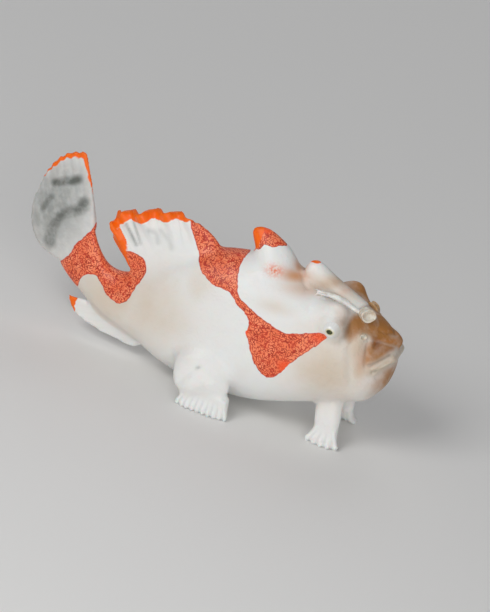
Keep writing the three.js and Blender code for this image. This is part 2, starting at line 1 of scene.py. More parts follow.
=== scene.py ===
"""A young warty frogfish as a life-size museum model, laid out as an add-on.

The fish's skin is one mesh: trunk, head, spines, fins and limbs are shaped from primitives,
fused, and given their folds and markings. The eyes, nostrils and lure are pieces of their own.
Shapes are made in millimetres and brought to metres at the end.
"""
import math
from functools import partial

import bpy
import numpy as np
from bpy.props import FloatProperty, FloatVectorProperty, IntProperty, PointerProperty
from mathutils import Matrix, Vector, kdtree


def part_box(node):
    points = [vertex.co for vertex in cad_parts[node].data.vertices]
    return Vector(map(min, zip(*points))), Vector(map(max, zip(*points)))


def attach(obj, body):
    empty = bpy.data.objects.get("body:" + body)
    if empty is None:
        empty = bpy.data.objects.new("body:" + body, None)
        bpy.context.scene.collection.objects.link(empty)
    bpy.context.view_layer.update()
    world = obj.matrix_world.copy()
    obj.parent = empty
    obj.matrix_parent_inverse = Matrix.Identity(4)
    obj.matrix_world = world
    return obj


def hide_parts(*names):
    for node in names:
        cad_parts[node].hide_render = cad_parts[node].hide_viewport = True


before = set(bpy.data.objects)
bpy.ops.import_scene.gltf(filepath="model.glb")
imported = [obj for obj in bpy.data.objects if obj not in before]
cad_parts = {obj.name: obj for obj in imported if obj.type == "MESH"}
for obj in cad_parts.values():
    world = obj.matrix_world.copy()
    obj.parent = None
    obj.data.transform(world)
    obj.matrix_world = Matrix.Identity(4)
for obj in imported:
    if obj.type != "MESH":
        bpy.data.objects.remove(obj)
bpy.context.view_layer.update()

bl_info = {
    "name": "Warty frogfish",
    "version": (1, 0, 0),
    "blender": (4, 5, 0),
    "location": "3D View > Sidebar > Frogfish",
    "description": "Models a young warty frogfish round its frame",
    "category": "Object",
}

MM = 0.001

# Where the fish's own coordinates lie in the frame: x runs forward from a point in the
# trunk, and the near eye, whose place is known in both, gives the shift between them.
EYE_PLACE = (14.1, 4.95, 17.75)
EYE_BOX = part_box("eye_right")
SHIFT_X = (EYE_BOX[0].x + EYE_BOX[1].x) / 2 / MM - EYE_PLACE[0]

# The trunk from tail to mouth: x and z of each section's middle, its half height and half
# width, how many degrees its top leans forwards, and how pear-shaped it is
TRUNK = np.array([
    (-25.6, 12.9, 4.2, 0.75, 25, 0),
    (-23.7, 10.75, 3.5, 1.25, 27, 0),
    (-21.3, 9.1, 3.1, 1.8, 22, 0.04),
    (-18.7, 8.25, 3.5, 2.4, 12, 0.08),
    (-16.2, 8.4, 4.3, 3.0, 3, 0.12),
    (-13.0, 9.2, 5.9, 3.9, 0, 0.16),
    (-9.5, 10.1, 8.1, 4.9, 0, 0.18),
    (-6.0, 10.8, 9.6, 5.7, 0, 0.18),
    (-2.0, 11.25, 10.4, 6.4, 0, 0.17),
    (2.0, 11.5, 10.6, 6.8, 0, 0.15),
    (6.0, 11.7, 10.1, 7.0, 0, 0.13),
    (10.0, 12.1, 9.1, 7.0, 0, 0.12),
    (13.5, 12.4, 8.0, 6.7, 0, 0.12),
    (16.5, 12.85, 7.2, 6.1, 0, 0.15),
    (19.0, 13.05, 6.5, 5.2, 0, 0.24),
    (21.0, 13.0, 5.6, 4.25, 0, 0.33),
    (22.2, 13.25, 4.35, 3.35, 0, 0.3),
    (23.0, 13.35, 3.0, 2.35, 0, 0.2),
    (23.35, 13.5, 1.2, 1.0, 0, 0),
])
SQUARENESS = 2.3
TAIL_BEND_START = -9.0
TAIL_BEND = 0.0062

# Swellings: place, reach along x, y and z, and how far each lifts the skin out and up
SWELLINGS = [
    ((14.4, 4.3, 19.1), (2.6, 1.8, 2.3), 0.7, 2.6),
    ((12.2, 6.4, 12.6), (4.2, 4.2, 4.2), 0.4, 0.0),
    ((4.4, 0.0, 22.0), (3.4, 3.4, 3.4), 0.0, 0.7),
]

# Limbs and spines: x, y, z of each section's middle, its half width and its half height
ARM = np.array([
    (-1.4, 3.2, 8.6, 4.2, 2.4),
    (-1.7, 5.6, 6.6, 4.2, 2.3),
    (-1.5, 6.9, 4.8, 4.1, 1.95),
    (-0.8, 7.4, 3.4, 3.9, 1.55),
    (-0.4, 7.5, 2.2, 3.5, 1.05),
    (-0.3, 7.75, 1.2, 3.3, 0.5),
])
LEG = np.array([
    (16.1, 2.2, 8.4, 2.1, 1.6),
    (16.5, 3.2, 5.6, 2.0, 1.4),
    (16.9, 3.9, 3.6, 1.9, 1.05),
    (17.1, 4.1, 2.3, 1.8, 0.8),
    (17.1, 4.4, 0.9, 1.9, 0.5),
])
SPINE_2 = np.array([
    (16.9, 0, 19.7, 1.15, 1.05),
    (15.2, 0, 20.4, 1.3, 1.05),
    (12.8, 0, 21.2, 1.35, 1.2),
    (10.6, 0, 21.95, 1.4, 1.45),
    (9.0, 0, 22.5, 1.35, 1.7),
    (7.9, 0, 22.9, 1.1, 1.55),
    (7.3, 0, 23.15, 0.6, 0.95),
])
SPINE_3 = np.array([
    (4.2, 0, 19.0, 4.2, 4.4),
    (3.2, 0, 21.4, 3.4, 3.45),
    (2.5, 0, 23.1, 2.5, 2.85),
    (1.9, 0, 24.0, 1.9, 2.6),
    (1.1, 0, 24.8, 1.35, 2.3),
    (0.4, 0, 25.5, 0.85, 1.9),
    (0.0, 0, 26.0, 0.5, 1.3),
    (-0.1, 0, 26.3, 0.2, 0.5),
])
SPINE_3_UP = (-0.16, 0.0, 0.987)
LENGTHWISE = (1.0, 0.0, 0.0)
SIDEWAYS = (0.0, 1.0, 0.0)

# Hands and feet: x of the middle ray, then place and half spread at the root and the toes
HAND = {"x": 0.0, "root": 2.9, "root_y": 7.5, "toe_y": 9.6, "root_half": 3.3, "toe_half": 4.2}
FOOT = {"x": 17.1, "root": 2.5, "root_y": 4.05, "toe_y": 5.9, "root_half": 1.65, "toe_half": 2.9}
TOE_Z = 0.3
TOE_ROUND = 0.9
INSTEP = 0.15
BEND_SPREAD = 0.4

# Key rays of the fins in the middle plane: root, bend and tip as x and z
CAUDAL = np.array([
    (-26.4, 9.5, -33.5, 8.6, -33.65, 16.2),
    (-25.4, 11.9, -31.2, 14.3, -32.85, 20.8),
    (-24.4, 14.3, -28.3, 18.4, -31.0, 24.6),
    (-23.3, 16.3, -24.8, 21.1, -27.75, 26.6),
])
DORSAL = np.array([
    (-3.0, 18.8, -4.8, 21.1, -6.9, 22.5),
    (-6.5, 17.5, -8.7, 21.5, -10.5, 23.7),
    (-9.0, 15.8, -12.2, 20.8, -14.1, 23.4),
    (-11.5, 14.0, -15.4, 18.8, -18.2, 21.6),
    (-13.2, 12.4, -17.8, 16.6, -21.2, 19.8),
    (-14.2, 11.0, -18.0, 13.7, -20.9, 16.7),
])
ANAL = np.array([
    (-10.4, 4.6, -11.6, 2.6, -13.4, 1.5),
    (-13.0, 5.2, -15.4, 2.9, -18.4, 1.8),
    (-15.6, 6.2, -19.0, 3.7, -23.2, 2.9),
    (-17.8, 7.2, -21.0, 5.3, -24.8, 4.8),
])

# The form of each fin: how clear its rays are and how many it has, the wave of its margin and
# the ruffle of its outer part, how far the membrane is drawn in between rays, its half
# thickness at the margin and what the root adds, the height of its rays, the width of its
# orange margin from the first ray to the last, and the width of the orange along the last ray
# with the shares of that ray between which it grows. A width below 0 gives no orange.
TOES = {"seen": 1.0, "scallop": 0.16, "edge": 0.36, "taper": 1.5, "ridge": 0.16,
        "band": (-1.0, -1.0), "side_band": -1.0, "side_from": (0, 1)}
FINS = {
    "caudal": {"seen": 0.6, "rays": 9, "wave": 0.25, "waves": 1.5, "ruffle": 0.0, "ruffles": 1,
               "scallop": 0.02, "edge": 0.27, "root": 0.42, "taper": 1.5, "ridge": 0.1,
               "band": (-1.0, 0.1, 0.6, 0.7, 0.75), "side_band": 0.68, "side_from": (0.28, 1.1)},
    "dorsal": {"seen": 0.7, "rays": 12, "wave": 0.6, "waves": 3, "ruffle": 1.0, "ruffles": 5.6,
               "scallop": 0.03, "edge": 0.28, "root": 1.7, "taper": 2.0, "ridge": 0.08,
               "band": (-1.0, 0.4, 1.35, 1.4, 1.4, 1.3), "side_band": 1.5,
               "side_from": (0.1, 0.7)},
    "anal": {"seen": 0.15, "rays": 7, "wave": 0.3, "waves": 1.5, "ruffle": 0.0, "ruffles": 1,
             "scallop": 0.02, "edge": 0.27, "root": 1.1, "taper": 1.4, "ridge": 0.02,
             "band": (-1.0, -1.0, -0.6, 0.7, 1.5), "side_band": -1.0, "side_from": (0, 1)},
    "hand": {**TOES, "rays": 10, "root": 0.75},
    "foot": {**TOES, "rays": 5, "root": 0.4},
}
# The share of its thickness that a fin keeps at its first and last rays, what it gains
# inwards, and over which share of its breadth
SIDE_REST = 0.55
SIDE_GAIN = 0.45
SIDE_SHARE = 0.08
# The parts of a fin over which it grows ruffled
RUFFLED_ALONG = (0.35, 1.0)
RUFFLED_ACROSS = (0.12, 0.4)
ACROSS_STEPS = 110
ALONG_STEPS = 44
# How a fin's markings are read from its middle surface: samples across and along it, how far
# from it they reach, the ramps along a ray and away from the surface, how much fin a point
# needs before the orange counts, and how far the orange stays off the start of the last ray
SAMPLES_ACROSS = 90
SAMPLES_ALONG = 36
MARK_REACH = 1.6
MARK_ALONG = (0.08, 0.65)
MARK_AWAY = (0.6, 1.2)
LEAST_FIN = 0.05
BARE_SIDE = -0.12

# The mouth's line slopes back and down from the snout's tip to each corner
MOUTH_FRONT = (22.4, 15.65)
MOUTH_CORNER = (20.4, 14.0)
# The upper jaw, a pad over the mouth: place and radius, from one end to the front
UPPER_JAW = np.array([
    (20.2, -2.8, 17.3, 0.3),
    (20.95, -2.1, 17.25, 0.45),
    (21.7, -1.15, 17.15, 0.75),
    (22.4, 0.0, 16.85, 1.02),
])
# The lower lip's radius at the mouth's corners, what its sides and its middle add, and its gap
LOWER_LIP = (0.42, 0.25, 0.03)
LIP_GAP = 0.06
# The mouth's slit and the groove under the lower lip: how far each lies below the mouth's
# line, its depth, and the half width of its painted shade
SLIT = (0.0, 0.35, 0.25)
LIP_GROOVE = (1.05, 0.12, 0.12)
GROOVE_HALF = 0.2
# The pale band of the lower lip: how far it lies below the mouth's line, and its half width
PALE_LIP = (0.75, 1.0)

# The mound of skin round each eye, and how far its middle lies behind the eye's
MOUND_RADIUS = 2.9
MOUND_SINK = 1.47

# Nostrils: place, radius, height, direction, and whether its skin is pale. The outline of
# one is drawn from the bottom of its foot round its rim to the bottom of its pit, in radii
# and heights.
NOSTRILS = {
    "front_right": ((17.75, -1.95, 20.0), 1.03, 0.8, (0.45, -0.8, 0.4), True),
    "front_left": ((17.6, 2.55, 19.05), 1.0, 0.5, (0.45, 0.85, 0.25), False),
    "rear_right": ((18.3, -3.65, 17.6), 0.46, 0.55, (0.35, -0.9, 0.25), True),
    "rear_left": ((18.3, 3.65, 17.6), 0.46, 0.55, (0.35, 0.9, 0.25), False),
}
NOSTRIL_OUTLINE = [
    (0, -0.8), (1.3, -0.8), (1.2, -0.3), (1.05, 0.15), (0.97, 0.5), (0.98, 0.85), (1.0, 1.0),
    (0.9, 1.08), (0.76, 1.02), (0.68, 0.85), (0.55, 0.7), (0.3, 0.64), (0, 0.62),
]
NOSTRIL_WOBBLE = 0.12

# The line of the lure, from the snout back along the second spine, its thickness along that
# line in radii, and the reach and radii of its threads
LURE_LINE = np.array([
    (17.3, -1.7, 19.6),
    (16.3, -2.0, 20.15),
    (15.3, -2.1, 20.4),
    (14.1, -2.1, 20.75),
    (12.7, -2.1, 21.0),
    (11.2, -2.3, 21.1),
])
LURE_SWELL = np.array([1.3, 1.5, 1.9, 2.3, 1.9, 1.1])
THREAD_REACH = np.array([-1.7, -0.25, 0.0])
THREAD_RADII = np.array([0.13, 0.1, 0.04])

# The photo's view: degrees round the fish, above it and of camera roll, how many
# millimetres of the fish one pixel shows, and a pixel whose place on the fish is known
VIEW_ROUND = 10.0
VIEW_ABOVE = 26.0
VIEW_ROLL = 16.2
MM_PER_PIXEL = 0.14
KNOWN_PIXEL = (200, 412)
KNOWN_PLACE = (0.0, -8.5, 0.0)
PICTURE = (490, 612)
CAMERA_AWAY = 1000.0
SENSOR = 36.0

# The stage: floor, surrounding light, and each lamp's name, place, size and power
FLOOR_COLOUR = (0.84, 0.83, 0.81, 1)
WORLD_COLOUR = (0.8, 0.82, 0.86, 1)
WORLD_STRENGTH = 0.27
LIGHTS = (
    ("key", (-0.15, -0.23, 0.25), 0.18, 0.52),
    ("fill", (0.16, -0.33, 0.1), 0.25, 0.55),
    ("rim", (-0.05, 0.3, 0.3), 0.25, 0.22),
)
LIGHTS_AIM = (0, 0, 0.012)

# Outlines of the red patches and of the orange rear edge of the third spine's tip, in
# millimetres in the plane of the photo's view
SADDLE = [
    (-9.4, 27.4), (-8.3, 24.3), (-6.6, 21.7), (-5.4, 19.1), (-3.4, 17.7), (-0.8, 17.2),
    (0.9, 15.8), (2.7, 14.6), (3.2, 13.3), (3.0, 12.4), (3.7, 11.4), (4.8, 9.4), (6.1, 8.0),
    (7.6, 7.3), (8.9, 8.0), (10.6, 10.6), (12.8, 13.2), (14.1, 15.0), (12.9, 15.3),
    (10.8, 14.6), (8.6, 14.0), (6.3, 14.4), (2.9, 15.8), (0.8, 17.0), (0.1, 18.6),
    (-0.3, 20.6), (-0.2, 22.1), (0.7, 23.7), (1.9, 24.6), (-0.3, 26.2), (-3.9, 26.1),
    (-7.4, 28.0),
]
TAIL_PATCH = [
    (-21.4, 22.1), (-21.6, 20.8), (-22.7, 18.8), (-23.5, 17.7), (-23.8, 16.4),
    (-25.0, 14.4), (-23.9, 13.2), (-21.6, 11.2), (-21.5, 12.4), (-21.2, 13.7),
    (-20.1, 14.3), (-19.1, 14.0), (-17.7, 12.5), (-16.5, 11.7), (-15.3, 11.4),
    (-14.3, 12.0), (-13.5, 14.3), (-12.8, 16.5), (-13.0, 17.7), (-13.7, 18.4),
    (-14.9, 18.75), (-16.4, 18.85), (-17.6, 18.9), (-19.5, 19.2), (-20.7, 21.2),
]
SPINE_TIP = [
    (-1.5, 27.0), (1.2, 24.1), (1.9, 25.0), (3.1, 24.9), (4.1, 25.4), (5.3, 25.8),
    (6.0, 27.5), (2.6, 29.5), (-0.6, 29.0),
]
SPINE_EDGE = [(-2.0, 27.5), (0.2, 23.9), (1.3, 24.1), (1.45, 25.5), (1.5, 27.2), (0.6, 29.2)]

# Where the red closes up to a solid colour: place, reach and strength
SOLID_RED = [
    ((13.1, 14.6), (2.2, 1.1), 0.62),
    ((9.6, 9.4), (1.3, 1.0), 0.9),
    ((3.0, 12.6), (0.5, 0.8), 0.9),
    ((-9.6, 26.6), (1.6, 1.2), 1.0),
    ((-24.0, 13.6), (1.0, 1.0), 0.6),
    ((1.8, 27.0), (1.0, 0.6), 0.9),
]

# Soft tints in that plane: channel, place, reach, turn in degrees, and strength
TINTS = [
    # The wide grey over the tail fin is painted shade, where the light falls off
    ("grey_bars_and_shade", (-28.2, 22.0), (6.5, 8.0), -15, 0.66),
    # The pore's grey is painted shade in its pit
    ("grey_bars_and_shade", (-2.0, 5.9), (0.32, 0.22), 40, 0.4),
    # The grey before the eye is a painted shadow beside the eye's mound
    ("grey_bars_and_shade", (16.1, 17.3), (0.7, 2.0), 15, 0.4),
    ("spot", (4.5, 21.9), (1.15, 0.8), 0, 1.0),
    # Flesh between the spines: partly a pink smear of the skin behind the spot, partly painted
    # shade in the gap between the spines and along the groove at the second spine's end
    ("flesh", (7.5, 22.0), (2.0, 1.0), 8, 0.95),
    ("flesh", (7.8, 23.6), (0.9, 1.4), 0, 0.95),
    ("flesh", (8.6, 20.6), (2.6, 1.2), 12, 0.4),
    ("flesh", (19.7, 13.0), (0.9, 1.8), 12, 0.45),
    ("flesh", (15.2, 22.4), (2.6, 0.6), 38, 0.35),
    ("brown", (15.8, 17.6), (1.4, 2.3), 15, 0.5),
    ("brown", (13.4, 22.8), (4.2, 0.9), 33, 0.3),
    ("brown", (20.74, 15.94), (0.5, 0.9), 20, 1.0),
    ("brown", (18.6, 15.0), (0.9, 2.2), 0, 0.2),
    ("brown", (24.3, 12.2), (1.7, 3.6), -26, 0.95),
    # Beige: partly the skin's own tan, partly painted shade, as on the rear flank, the tail stalk
    # and the second spine
    ("beige_and_shade", (-17.0, 12.0), (6.0, 4.5), 0, 0.9),
    ("beige_and_shade", (-11.0, 11.5), (6.0, 5.5), 0, 0.7),
    ("beige_and_shade", (-5.2, 17.0), (2.0, 3.0), 0, 0.45),
    ("beige_and_shade", (6.0, 17.0), (2.5, 1.0), 0, 0.5),
    ("beige_and_shade", (15.6, 11.0), (5.5, 4.5), 0, 1.0),
    ("beige_and_shade", (13.0, 22.8), (4.0, 1.3), 24, 1.0),
    ("beige_and_shade", (15.5, 21.6), (3.0, 1.6), 30, 0.6),
    ("beige_and_shade", (18.0, 15.0), (2.0, 4.0), 0, 0.9),
    ("beige_and_shade", (19.6, 11.6), (1.6, 1.6), 0, 1.0),
    # Painted shade in the corner and along the line of the mouth
    ("mouth_shade", (21.0, 16.1), (0.6, 0.95), 25, 0.55),
    ("mouth_shade", (22.6, 15.6), (1.4, 0.45), 25, 0.22),
]
TINT_NAMES = ("grey_bars_and_shade", "spot", "flesh", "brown", "beige_and_shade", "mouth_shade")
# Grey lines: the bars of the tail fin, and painted shadows along the folds of the back fin:
# points, half width and strength
BARS_AND_FOLD_SHADE_LINES = [
    ([(-28.6, 25.2), (-27.6, 25.7), (-26.5, 26.0), (-25.6, 26.5)], 1.0, 1.0),
    ([(-28.6, 23.2), (-29.1, 22.0), (-29.3, 21.0)], 1.0, 0.85),
    ([(-23.9, 23.6), (-24.3, 22.7), (-25.4, 21.95), (-26.5, 21.2), (-27.0, 20.0),
      (-27.3, 18.5), (-27.1, 17.0)], 1.35, 0.92),
    # Painted shadows between the back fin's folds and rays
    ([(-17.3, 22.4), (-16.2, 21.2), (-15.1, 20.0)], 0.22, 0.6),
    ([(-16.4, 22.9), (-15.4, 21.5), (-14.6, 20.3)], 0.2, 0.45),
    ([(-13.9, 22.4), (-12.9, 22.3), (-12.3, 21.2)], 0.4, 0.25),
    ([(-12.4, 22.9), (-11.0, 21.9), (-10.2, 20.9)], 0.35, 0.2),
]
# Brown, clear skin of the snout, the jaws and before the eye, as soft-edged outlines
BROWN_AREAS = [
    ([(17.1, 19.4), (18.8, 19.8), (21.0, 19.4), (21.8, 17.4), (20.8, 16.0), (19.6, 16.7),
      (18.2, 16.4), (17.2, 15.2), (16.2, 16.2), (16.3, 18.2)], 0.9),
    ([(18.4, 21.8), (19.2, 20.4), (20.0, 19.0), (20.6, 17.2), (22.6, 17.3), (24.2, 18.0),
      (24.0, 20.5), (22.0, 22.5), (19.5, 23.2)], 1.0),
    ([(20.7, 17.8), (20.4, 16.6), (21.2, 16.3), (22.6, 16.2), (23.9, 16.2), (25.4, 15.6),
      (25.6, 19.0), (23.4, 18.6)], 0.95),
    ([(20.5, 16.4), (22.0, 16.6), (23.9, 16.4), (23.0, 15.3), (22.3, 14.2), (21.4, 13.3),
      (20.2, 12.9), (19.6, 14.2), (19.7, 15.6)], 0.88),
]
SOFT_EDGE = (-0.7, 0.6)
# Soft tints of the head in space: channel, place, reach, and strength
HEAD_TINTS = [
    ("brown", (22.6, 0.0, 18.2), (2.2, 2.2, 1.6), 0.9),
    ("brown", (19.8, 0.0, 20.0), (2.2, 1.5, 1.6), 0.9),
    ("brown", (22.8, 0.0, 9.8), (2.4, 3.2, 3.0), 0.8),
]
# The clear skin over the far eye, and the orange tip of the second spine
FAR_BROW = ("brown", (15.6, 4.6, 20.2), (4.0, 3.0, 3.0), 1.25)
FINGER_TIP = (((6.7, 0.0, 23.8), (7.3, 0.0, 24.4), (8.5, 0.0, 24.4)), 0.6)

# Folds of the skin in that plane: points, height (negative for a groove) and half width
FOLDS = [
    ([(19.0, 16.6), (18.6, 15.4), (18.7, 14.1), (19.2, 12.8)], 0.16, 0.75),
    ([(20.0, 16.7), (20.2, 15.4)], 0.12, 0.35),
    ([(19.8, 15.5), (20.0, 14.1), (20.4, 12.6)], -0.16, 0.35),
    ([(17.5, 16.4), (17.6, 14.4), (18.0, 12.2), (19.0, 9.6)], -0.12, 0.6),
    ([(16.4, 19.2), (16.9, 17.8), (16.8, 16.2), (16.2, 15.0)], -0.2, 0.6),
    ([(12.2, 19.6), (14.5, 19.5), (16.6, 18.9)], 0.12, 0.5),
    ([(8.0, 24.6), (8.2, 23.2), (8.7, 21.8), (9.6, 20.9)], -0.3, 0.28),
    ([(8.6, 21.2), (10.0, 19.8), (10.6, 18.2)], -0.12, 0.8),
    ([(23.9, 16.4), (22.7, 16.3), (21.5, 16.3), (20.9, 15.6)], -0.2, 0.28),
    ([(20.9, 17.9), (22.0, 17.9), (23.4, 18.2)], -0.14, 0.25),
    ([(23.3, 14.4), (22.4, 13.2), (21.6, 12.0)], -0.12, 0.2),
    ([(22.3, 11.5), (23.4, 12.9), (24.0, 14.2)], -0.16, 0.35),
    ([(-4.2, 1.6), (-3.9, 3.4), (-2.9, 4.9), (-1.6, 5.9)], -0.22, 0.45),
    ([(-2.4, 2.4), (-1.6, 3.8), (0.2, 4.4)], 0.3, 1.1),
]
# Which of the folds are pale, and the pore over the arm: place, half width and height
WHITE_FOLDS = (0,)
PORE = ((-2.0, 5.9), 0.28, -0.16)

# Passes of smoothing: all over, at the joins of limbs and fins, and on the trunk's wide joins
TIDY_PASSES = 4
FILLET_PASSES = 26
WIDE_FILLET_PASSES = 140
# How hollow the skin is where smoothing starts and where it is full
HOLLOW = (0.008, 0.03)
FAINT_HOLLOW = (0.0, 0.004)
# Ramps in x and z round the spines, whose joins stay crisper, and round the trunk behind them
SPINES_FROM = (5.5, 6.5)
SPINES_TO = (12, 14)
SPINES_ABOVE = (19.6, 20.4)
SPINES_CRISP = 0.85
TRUNK_TO = (5, 6.5)
TRUNK_ABOVE = (2.2, 3.6)
# Where the head's faces are split once more, in x and z, and the ramp of its smoothing in x
HEAD_FROM = (11.5, 5.5)
HEAD_RAMP = (11.0, 12.0)

# Colours of the smaller marks, which go with the colours in the panel
DEEP_PINK = (0.86, 0.20, 0.08)
DEEP_RED = (0.46, 0.03, 0.014)
SOLID_COLOUR = (0.93, 0.10, 0.02)
PALE_LIP_COLOUR = (0.58, 0.49, 0.38)
# Painted shade in the mouth's corner
MOUTH_SHADE_COLOUR = (0.16, 0.035, 0.015)
FLESH_COLOUR = (0.66, 0.33, 0.16)
SPOT_COLOUR = (0.80, 0.24, 0.12)
# Painted shade in the valleys between fin rays
RAY_VALLEY_SHADE = (0.36, 0.38, 0.38)
# Painted shade in the mouth's slit and the groove under the lower lip
SLIT_SHADE_COLOUR = (0.16, 0.06, 0.03)
SPOKE_COLOUR = (0.42, 0.40, 0.34)
# Painted shade on the front of the eyeball
EYE_FRONT_SHADE = (0.50, 0.43, 0.30)
IRIS_COLOUR = (0.66, 0.58, 0.28)
PUPIL_COLOURS = ((0.02, 0.028, 0.006), (0.12, 0.13, 0.015))
# Light and deeper colour of each thin, clear skin
CLEAR_SKINS = {
    "nostril_skin": ((0.72, 0.67, 0.58), (0.60, 0.50, 0.38)),
    "far_nostril_skin": ((0.56, 0.36, 0.18), (0.44, 0.24, 0.09)),
    "lure_skin": ((0.86, 0.85, 0.82), (0.76, 0.73, 0.67)),
}


class FrogfishSizes(bpy.types.PropertyGroup):
    """Sizes of the fish that may be changed."""

    fineness: FloatProperty(
        name="Skin fineness", description="Edge of the skin's smallest square", unit="LENGTH",
        default=0.00027, min=0.0002, max=0.001, precision=5,
    )
    eye_radius: FloatProperty(
        name="Eye radius", description="Radius of each eyeball", unit="LENGTH",
        default=0.00165, min=0.0005, max=0.004, precision=5,
    )
    lure_radius: FloatProperty(
        name="Lure line radius", description="Half thickness of the lure's line",
        unit="LENGTH", default=0.00022, min=0.0001, max=0.001, precision=5,
    )
    filaments: IntProperty(
        name="Lure filaments", description="How many threads the lure has",
        default=26, min=3, max=80,
    )


class FrogfishColours(bpy.types.PropertyGroup):
    """Colours of the fish that may be changed."""

    white: FloatVectorProperty(
        name="White", description="Skin of the belly, arms and head", subtype="COLOR",
        default=(0.82, 0.82, 0.80), min=0, max=1,
    )
    # Beige: partly the skin's own tan, partly painted shade on the flank
    beige_and_shade: FloatVectorProperty(
        name="Beige", description="Shaded skin of the flank", subtype="COLOR",
        default=(0.67, 0.56, 0.44), min=0, max=1,
    )
    red: FloatVectorProperty(
        name="Red", description="Lines of the saddle patches", subtype="COLOR",
        default=(0.60, 0.05, 0.022), min=0, max=1,
    )
    pink: FloatVectorProperty(
        name="Pink", description="Ground of the saddle patches", subtype="COLOR",
        default=(0.92, 0.29, 0.14), min=0, max=1,
    )
    orange: FloatVectorProperty(
        name="Orange", description="Margins of the fins", subtype="COLOR",
        default=(1.0, 0.15, 0.0), min=0, max=1,
    )
    brown: FloatVectorProperty(
        name="Brown", description="Thin, clear skin of the snout", subtype="COLOR",
        default=(0.40, 0.17, 0.04), min=0, max=1,
    )
    # Grey: the colour of the tail fin's bars, and of painted shade on the tail fin, in the pore,
    # before the eye and along the back fin's folds
    grey_bars_and_shade: FloatVectorProperty(
        name="Grey", description="Bars of the tail fin", subtype="COLOR",
        default=(0.135, 0.145, 0.13), min=0, max=1,
    )


# Numbers and meshes

def smooth_rows(rows, t):
    """Values between the rows at t, from 0 to 1, on a smooth curve through them."""
    rows = np.asarray(rows, float)
    place = np.clip(t, 0, 1) * (len(rows) - 1)
    first = np.minimum(place.astype(int), len(rows) - 2)
    share = (place - first)[:, None]
    padded = np.vstack([2 * rows[0] - rows[1], rows, 2 * rows[-1] - rows[-2]])
    a, b, c, d = (padded[first + k] for k in range(4))
    curve = 2 * a - 5 * b + 4 * c - d + share * (3 * (b - c) + d - a)
    return b + 0.5 * share * (c - a + share * curve)


def smooth_step(value, low, high):
    """0 under low, 1 over high, and a smooth ramp between them."""
    share = np.clip((value - low) / (high - low), 0, 1)
    return share * share * (3 - 2 * share)


def smooth_line(points):
    """A smooth curve through a few points."""
    return smooth_rows(points, np.linspace(0, 1, 12))


def soft_spot(points, place, reach):
    """1 at a place, fading smoothly to 0 round it."""
    return np.exp(-np.sum(((points - place) / reach) ** 2, axis=1))


def tail_bend(x):
    """How far the fish's middle plane lies to its left at x."""
    back = np.maximum(0, TAIL_BEND_START - x)
    return TAIL_BEND * back * back


def bent(points):
    """Points of the straight fish, moved along with the bend of its tail."""
    moved = points.copy()
    moved[:, 1] += tail_bend(points[:, 0])
    return moved


def swollen(points):
    """Points of the skin after the swellings have lifted them."""
    lifted = points.copy()
    for place, reach, out, up in SWELLINGS:
        mirrored = np.column_stack([points[:, 0], np.abs(points[:, 1]), points[:, 2]])
        share = soft_spot(mirrored, place, reach)
        lifted[:, 1] += np.sign(points[:, 1]) * out * share
        lifted[:, 2] += up * share
    return lifted


def places_of(piece):
    """The piece's vertices as an array of points."""
    flat = np.empty(len(piece.data.vertices) * 3)
    piece.data.vertices.foreach_get("co", flat)
    return flat.reshape(-1, 3)


def put_places(piece, points):
    """Moves the piece's vertices to these points."""
    piece.data.vertices.foreach_set("co", np.ascontiguousarray(points, float).ravel())
    piece.data.update()


def normals_of(piece):
    """The piece's vertex normals as an array."""
    flat = np.empty(len(piece.data.vertices) * 3)
    piece.data.vertex_normals.foreach_get("vector", flat)
    return flat.reshape(-1, 3)


def edges_of(piece):
    """The piece's edges as an array of pairs of vertices."""
    flat = np.empty(len(piece.data.edges) * 2, int)
    piece.data.edges.foreach_get("vertices", flat)
    return flat.reshape(-1, 2)


def spread(values, edges, passes):
    """Values at vertices after some passes of averaging with their neighbours."""
    count = np.bincount(edges.ravel(), minlength=len(values))
    count = np.maximum(count, 1)[:, None]
    table = values.reshape(len(values), -1).astype(float)
    for _ in range(passes):
        total = np.zeros_like(table)
        for column in range(table.shape[1]):
            total[:, column] = (
                np.bincount(edges[:, 0], table[edges[:, 1], column], len(table))
                + np.bincount(edges[:, 1], table[edges[:, 0], column], len(table))
            )
        table = 0.5 * table + 0.5 * total / count
    return table.reshape(values.shape)


def only(piece):
    """Selects this piece alone and makes it the active one."""
    bpy.ops.object.select_all(action="DESELECT")
    piece.select_set(True)
    bpy.context.view_layer.objects.active = piece


def started(primitive, place=(0, 0, 0), **settings):
    """A new primitive, made with nothing else selected."""
    bpy.ops.object.select_all(action="DESELECT")
    primitive(location=place, **settings)
    return bpy.context.object


def select_in_mesh(piece, kind, chosen):
    """Enters edit mode with only the chosen vertices, edges or faces selected."""
    only(piece)
    data = piece.data
    for group in (data.vertices, data.edges, data.polygons):
        group.foreach_set("select", np.zeros(len(group), bool))
    parts = {"VERT": data.vertices, "EDGE": data.edges, "FACE": data.polygons}[kind]
    parts.foreach_set("select", np.asarray(chosen, bool))
    bpy.ops.object.mode_set(mode="EDIT")
    bpy.ops.mesh.select_mode(type=kind)


def apply_modifier(piece, kind, **settings):
    """Adds a modifier with these settings and applies it."""
    only(piece)
    bpy.ops.object.modifier_add(type=kind)
    modifier = piece.modifiers[-1]
    for name, value in settings.items():
        setattr(modifier, name, value)
    bpy.ops.object.modifier_apply(modifier=modifier.name)


def weigh(piece, name, weights):
    """A vertex group with one weight for each vertex."""
    group = piece.vertex_groups.new(name=name)
    for index in np.flatnonzero(weights > 0):
        group.add([int(index)], float(weights[index]), "REPLACE")
    return group


def joined(pieces, name):
    """The pieces as one object."""
    bpy.ops.object.select_all(action="DESELECT")
    for piece in pieces:
        piece.select_set(True)
    bpy.context.view_layer.objects.active = pieces[0]
    bpy.ops.object.join()
    piece = bpy.context.object
    piece.name = name
    piece.data.name = name
    return piece


